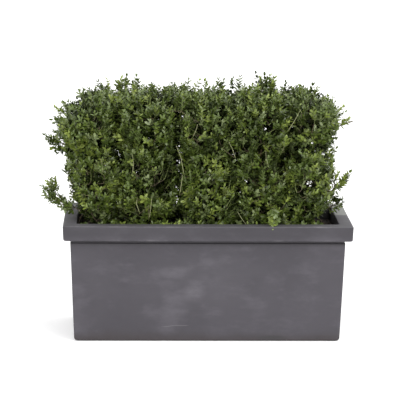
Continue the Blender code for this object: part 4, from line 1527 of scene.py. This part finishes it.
def open_cells():
    """Places on the middle plane that no leaf hides, though leaves hide others all round them."""
    hidden = np.zeros(SIGHT_CELLS, bool)
    for found in leaves.values():
        side = np.cross(found["along"], found["face"])
        for inward, aside in itertools.product(np.linspace(0.02, 0.98, 20), np.linspace(-1, 1, 8)):
            aside *= 0.21 * min(1.0, 4 * inward, 4 * (1 - inward))
            spots = found["root"] + (found["along"] * inward + side * aside) * found["size"][:, None]
            carried = (spots - EYE) * (EYE[1] / (EYE[1] - spots[:, 1]))[:, None] + EYE
            cells = ((carried[:, (0, 2)] - SIGHT_LOW) / SIGHT_CELL).astype(int)
            cells = cells.clip(0, np.array(SIGHT_CELLS) - 1)
            hidden[cells[:, 0], cells[:, 1]] = True
    hidden[[0, -1]] = hidden[:, [0, -1]] = True
    corners = itertools.product(range(HOLE_WIDTH), repeat=2)
    enclosed = ~np.any([np.roll(hidden, corner, (0, 1)) for corner in corners], axis=0)
    for axis in (0, 1):
        for side in (1, -1):
            shifted = [np.roll(hidden, side * cells, axis) for cells in range(1, HOLE_REACH)]
            enclosed &= np.any(shifted, axis=0)
    return [np.array((x, 0.0, z)) for x, z in SIGHT_LOW + (np.argwhere(enclosed) + 0.5) * SIGHT_CELL]


def closing_tips():
    """Tips in the heart of the crown, one on each line of sight that should be closed."""
    spacing = Spacing(0.02)
    found = []
    for place in open_cells():
        nearest_gap = min(off_sight(place[None], (x, 0.0, z))[0] - radius for x, z, radius in metres(GAPS))
        if nearest_gap >= GAP_MARGIN and spacing.take(place, CLOSING_SPACING):
            found.append(place + unit(place - EYE) * chance.uniform(*CLOSING_DEPTH))
    return found


for number in range(CLOSING_ROUNDS):
    closing = {mass: [] for mass in CROWN_MASSES}
    for tip in closing_tips():
        foot = tip - (0, 0, CLOSING_LENGTH) + chance.normal(size=3) * CLOSING_SCATTER
        closing[mass_at(tip)].append((tip, foot))
    for mass, ends in closing.items():
        if ends:
            extra = stand_out(ends, wood_of[mass])
            extra["sinks"] = np.full(len(ends), DEEP_SINK)
            measure_spans(extra)
            # painted shade: the heart and the shade tints
            extra["tints"] = chance.integers(0, 2, len(ends))
            join(grown[mass], extra)
            join(leaves[mass], leaf_places(extra))
    print("chance holes closed:", sum(len(ends) for ends in closing.values()))

# %% [markdown]
# Each mass becomes one mesh of loose points, one for a leaf, that carry direction, face, size, form
# and tint. The tree puts the right form on every point and makes all of them one real mesh.

# %% Leaf meshes by Geometry Nodes
def points_mesh(name, places, attributes, edges=()):
    """A mesh of loose points or lines that carries attributes for a tree."""
    mesh = bpy.data.meshes.new(name)
    mesh.from_pydata(places.tolist(), list(edges), [])
    for label, values in attributes.items():
        kind = {"i": "INT", "f": "FLOAT"}[values.dtype.kind] if values.ndim == 1 else "FLOAT_VECTOR"
        layer = mesh.attributes.new(label, kind, "POINT")
        layer.data.foreach_set("value" if values.ndim == 1 else "vector",
                               values.astype(np.int32 if kind == "INT" else np.float32).ravel())
    return mesh


def leafing_tree():
    """A leaf on every point, laid along one attribute and facing another."""
    graph, given, leave = new_tree("leafing", {"Leaf forms": "Collection"})
    forms = graph.node("GeometryNodeCollectionInfo", None,
                       {"Collection": given["Leaf forms"], "Separate Children": True,
                        "Reset Children": True})
    rotation = graph.node("FunctionNodeAxesToRotation", {"primary_axis": "X", "secondary_axis": "Z"},
                          {"Primary Axis": named(graph, "along", "FLOAT_VECTOR"),
                           "Secondary Axis": named(graph, "face", "FLOAT_VECTOR")})
    placed = graph.node("GeometryNodeInstanceOnPoints", None,
                        {"Points": given["Geometry"], "Instance": forms, "Pick Instance": True,
                         "Instance Index": named(graph, "shape", "INT"), "Rotation": rotation,
                         "Scale": named(graph, "size")})
    real = graph.node("GeometryNodeRealizeInstances", None, {"Geometry": placed})
    done = set_materials(graph, real, "tint", LEAF_MATERIALS)
    graph.tree.links.new(done.socket, leave.inputs[0])
    return graph.tree


def drop_attributes(mesh):
    """Leave only what a plain mesh needs."""
    for name in [a.name for a in mesh.attributes if not a.is_required and not a.is_internal]:
        if name not in ("material_index", "sharp_face", "sharp_edge"):
            mesh.attributes.remove(mesh.attributes[name])


leafing = leafing_tree()
triangle_count = {}
for mass, found in leaves.items():
    attributes = {name: found[name] for name in ("along", "face", "size", "shape", "tint")}
    mesh = run_tree(mass + "_leaves", points_mesh(mass, found["root"], attributes), leafing,
                    {"Leaf forms": leaf_forms})
    drop_attributes(mesh)
    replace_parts(add_piece(mass + "_leaves", mesh), mass + "_mass")
    triangle_count[mass] = triangles(mesh)
print("leaf triangles:", sum(triangle_count.values()), "most in one piece:", max(triangle_count.values()))

# %% [markdown]
# ## Twigs
#
# Twigs and shoots are lines with a radius at each point. The tree turns the lines into curves, sweeps
# a small ring along them, closes the ends, and gives the old wood bark and the year's shoots their
# pale green skin. A shoot is hardly two millimetres thick, so four sides do.

# %% Skin of young shoots
SHOOT_GREEN = linear(112, 122, 68)
# the twig tan is darker than the limbs' bark: partly the young wood's own colour, partly painted shade of
# the crown's inside
TWIG_TAN = linear(92, 82, 62)
STEM_PALE = linear(138, 140, 100)


def young_skin(name, colour, roughness):
    """Smooth young bark: one colour, as there is no room on so thin a stem for a pattern."""
    return new_finish(name, roughness, Base_Color=(*colour, 1.0))[0]


TWIG_FINISHES = [young_skin("twig_tan", TWIG_TAN, 0.7), young_skin("shoot_green", SHOOT_GREEN, 0.5),
                 young_skin("stem_pale", STEM_PALE, 0.6)]
print("skins of twigs:", [skin.name for skin in TWIG_FINISHES])

# %% [markdown]
# Old wood, green shoots and the few bare stems that stand in view are lines of one mesh for each mass,
# with the thickness and the kind of skin at every point.

# %% Twig meshes by Geometry Nodes
SHOOT_POINTS = 5
SHOOT_RADIUS = (0.00100, 0.00055)       # at the foot and at the tip


def twig_tree():
    """Sweep a ring along every line, as thick as the line's radius."""
    graph, given, leave = new_tree("twig_skin", {"Sides": "Int"})
    curves = graph.node("GeometryNodeMeshToCurve", None, {"Mesh": given["Geometry"]})
    ring_line = graph.node("GeometryNodeCurvePrimitiveCircle", None,
                           {"Resolution": given["Sides"], "Radius": 1.0})
    swept = graph.node("GeometryNodeCurveToMesh", None,
                       {"Curve": curves, "Profile Curve": ring_line, "Scale": named(graph, "thickness"),
                        "Fill Caps": True})
    real = graph.node("GeometryNodeRealizeInstances", None, {"Geometry": swept})
    done = set_materials(graph, real, "kind", TWIG_FINISHES)
    graph.tree.links.new(done.socket, leave.inputs[0])
    return graph.tree


def line_points(lines):
    """Join lines of points into one list of places with edges between neighbours."""
    edges = []
    first = 0
    for line in lines:
        edges += [(first + i, first + i + 1) for i in range(len(line) - 1)]
        first += len(line)
    return np.concatenate(lines), edges


def shoot_lines(shoots):
    """The lines of a mass's shoots, and the radii along each."""
    shares = np.linspace(0, 1, SHOOT_POINTS)
    places = np.stack([follow(shoots, np.full(len(shoots["tips"]), t))[0] for t in shares], axis=1)
    width = SHOOT_RADIUS[0] + (SHOOT_RADIUS[1] - SHOOT_RADIUS[0]) * shares
    return list(places), width


STEM_THICKNESS = (0.0008, 0.0009, 0.0011, 0.0010, 0.0007)


def bare_stems(mass):
    """The bare stems that this mass carries: lines from its wood up along the front face."""
    wood = {name: np.concatenate([line for line, thick in grown[name]["chains"]]) for name in CROWN_MASSES}
    lines = []
    for foot_x, foot_z, top_x, top_z in metres(STEMS_IN_VIEW):
        foot, top = np.array((foot_x, STEM_FACE, foot_z)), np.array((top_x, STEM_FACE + 0.004, top_z))
        near = {name: np.linalg.norm(joints - foot, axis=1) for name, joints in wood.items()}
        if min(near, key=lambda name: near[name].min()) == mass:
            middle = (foot + top) / 2 + chance.normal(size=3) * 0.002
            below = foot + (foot - top) * 0.25 + (0, 0.022, 0)
            lines.append(np.array([wood[mass][near[mass].argmin()], below, foot, middle, top]))
    return lines


twig_skin = twig_tree()
twig_triangles = {}
for mass, shoots in grown.items():
    green_lines, width = shoot_lines(shoots)
    wood_lines = [line for line, thick in shoots["chains"]]
    pale_lines = bare_stems(mass) if mass in CROWN_MASSES else []
    places, edges = line_points(wood_lines + green_lines + pale_lines)
    thickness = np.concatenate([thick for line, thick in shoots["chains"]]
                               + [width] * len(green_lines) + [STEM_THICKNESS] * len(pale_lines))
    kinds = np.repeat((0, 1, 2), [sum(len(line) for line in lines)
                                  for lines in (wood_lines, green_lines, pale_lines)])
    for stem in range(len(pale_lines)):     # the two lowest points of a bare stem are old wood
        start = len(kinds) - (stem + 1) * len(STEM_THICKNESS)
        kinds[start:start + 2] = 0
    mesh = run_tree(mass + "_twigs", points_mesh(mass, places, {"thickness": thickness, "kind": kinds},
                                                 edges), twig_skin, {"Sides": 4})
    drop_attributes(mesh)
    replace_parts(add_piece(mass + "_twigs", mesh), mass + "_mass")
    twig_triangles[mass] = triangles(mesh)
print("twig triangles:", sum(twig_triangles.values()), "most in one piece:", max(twig_triangles.values()))
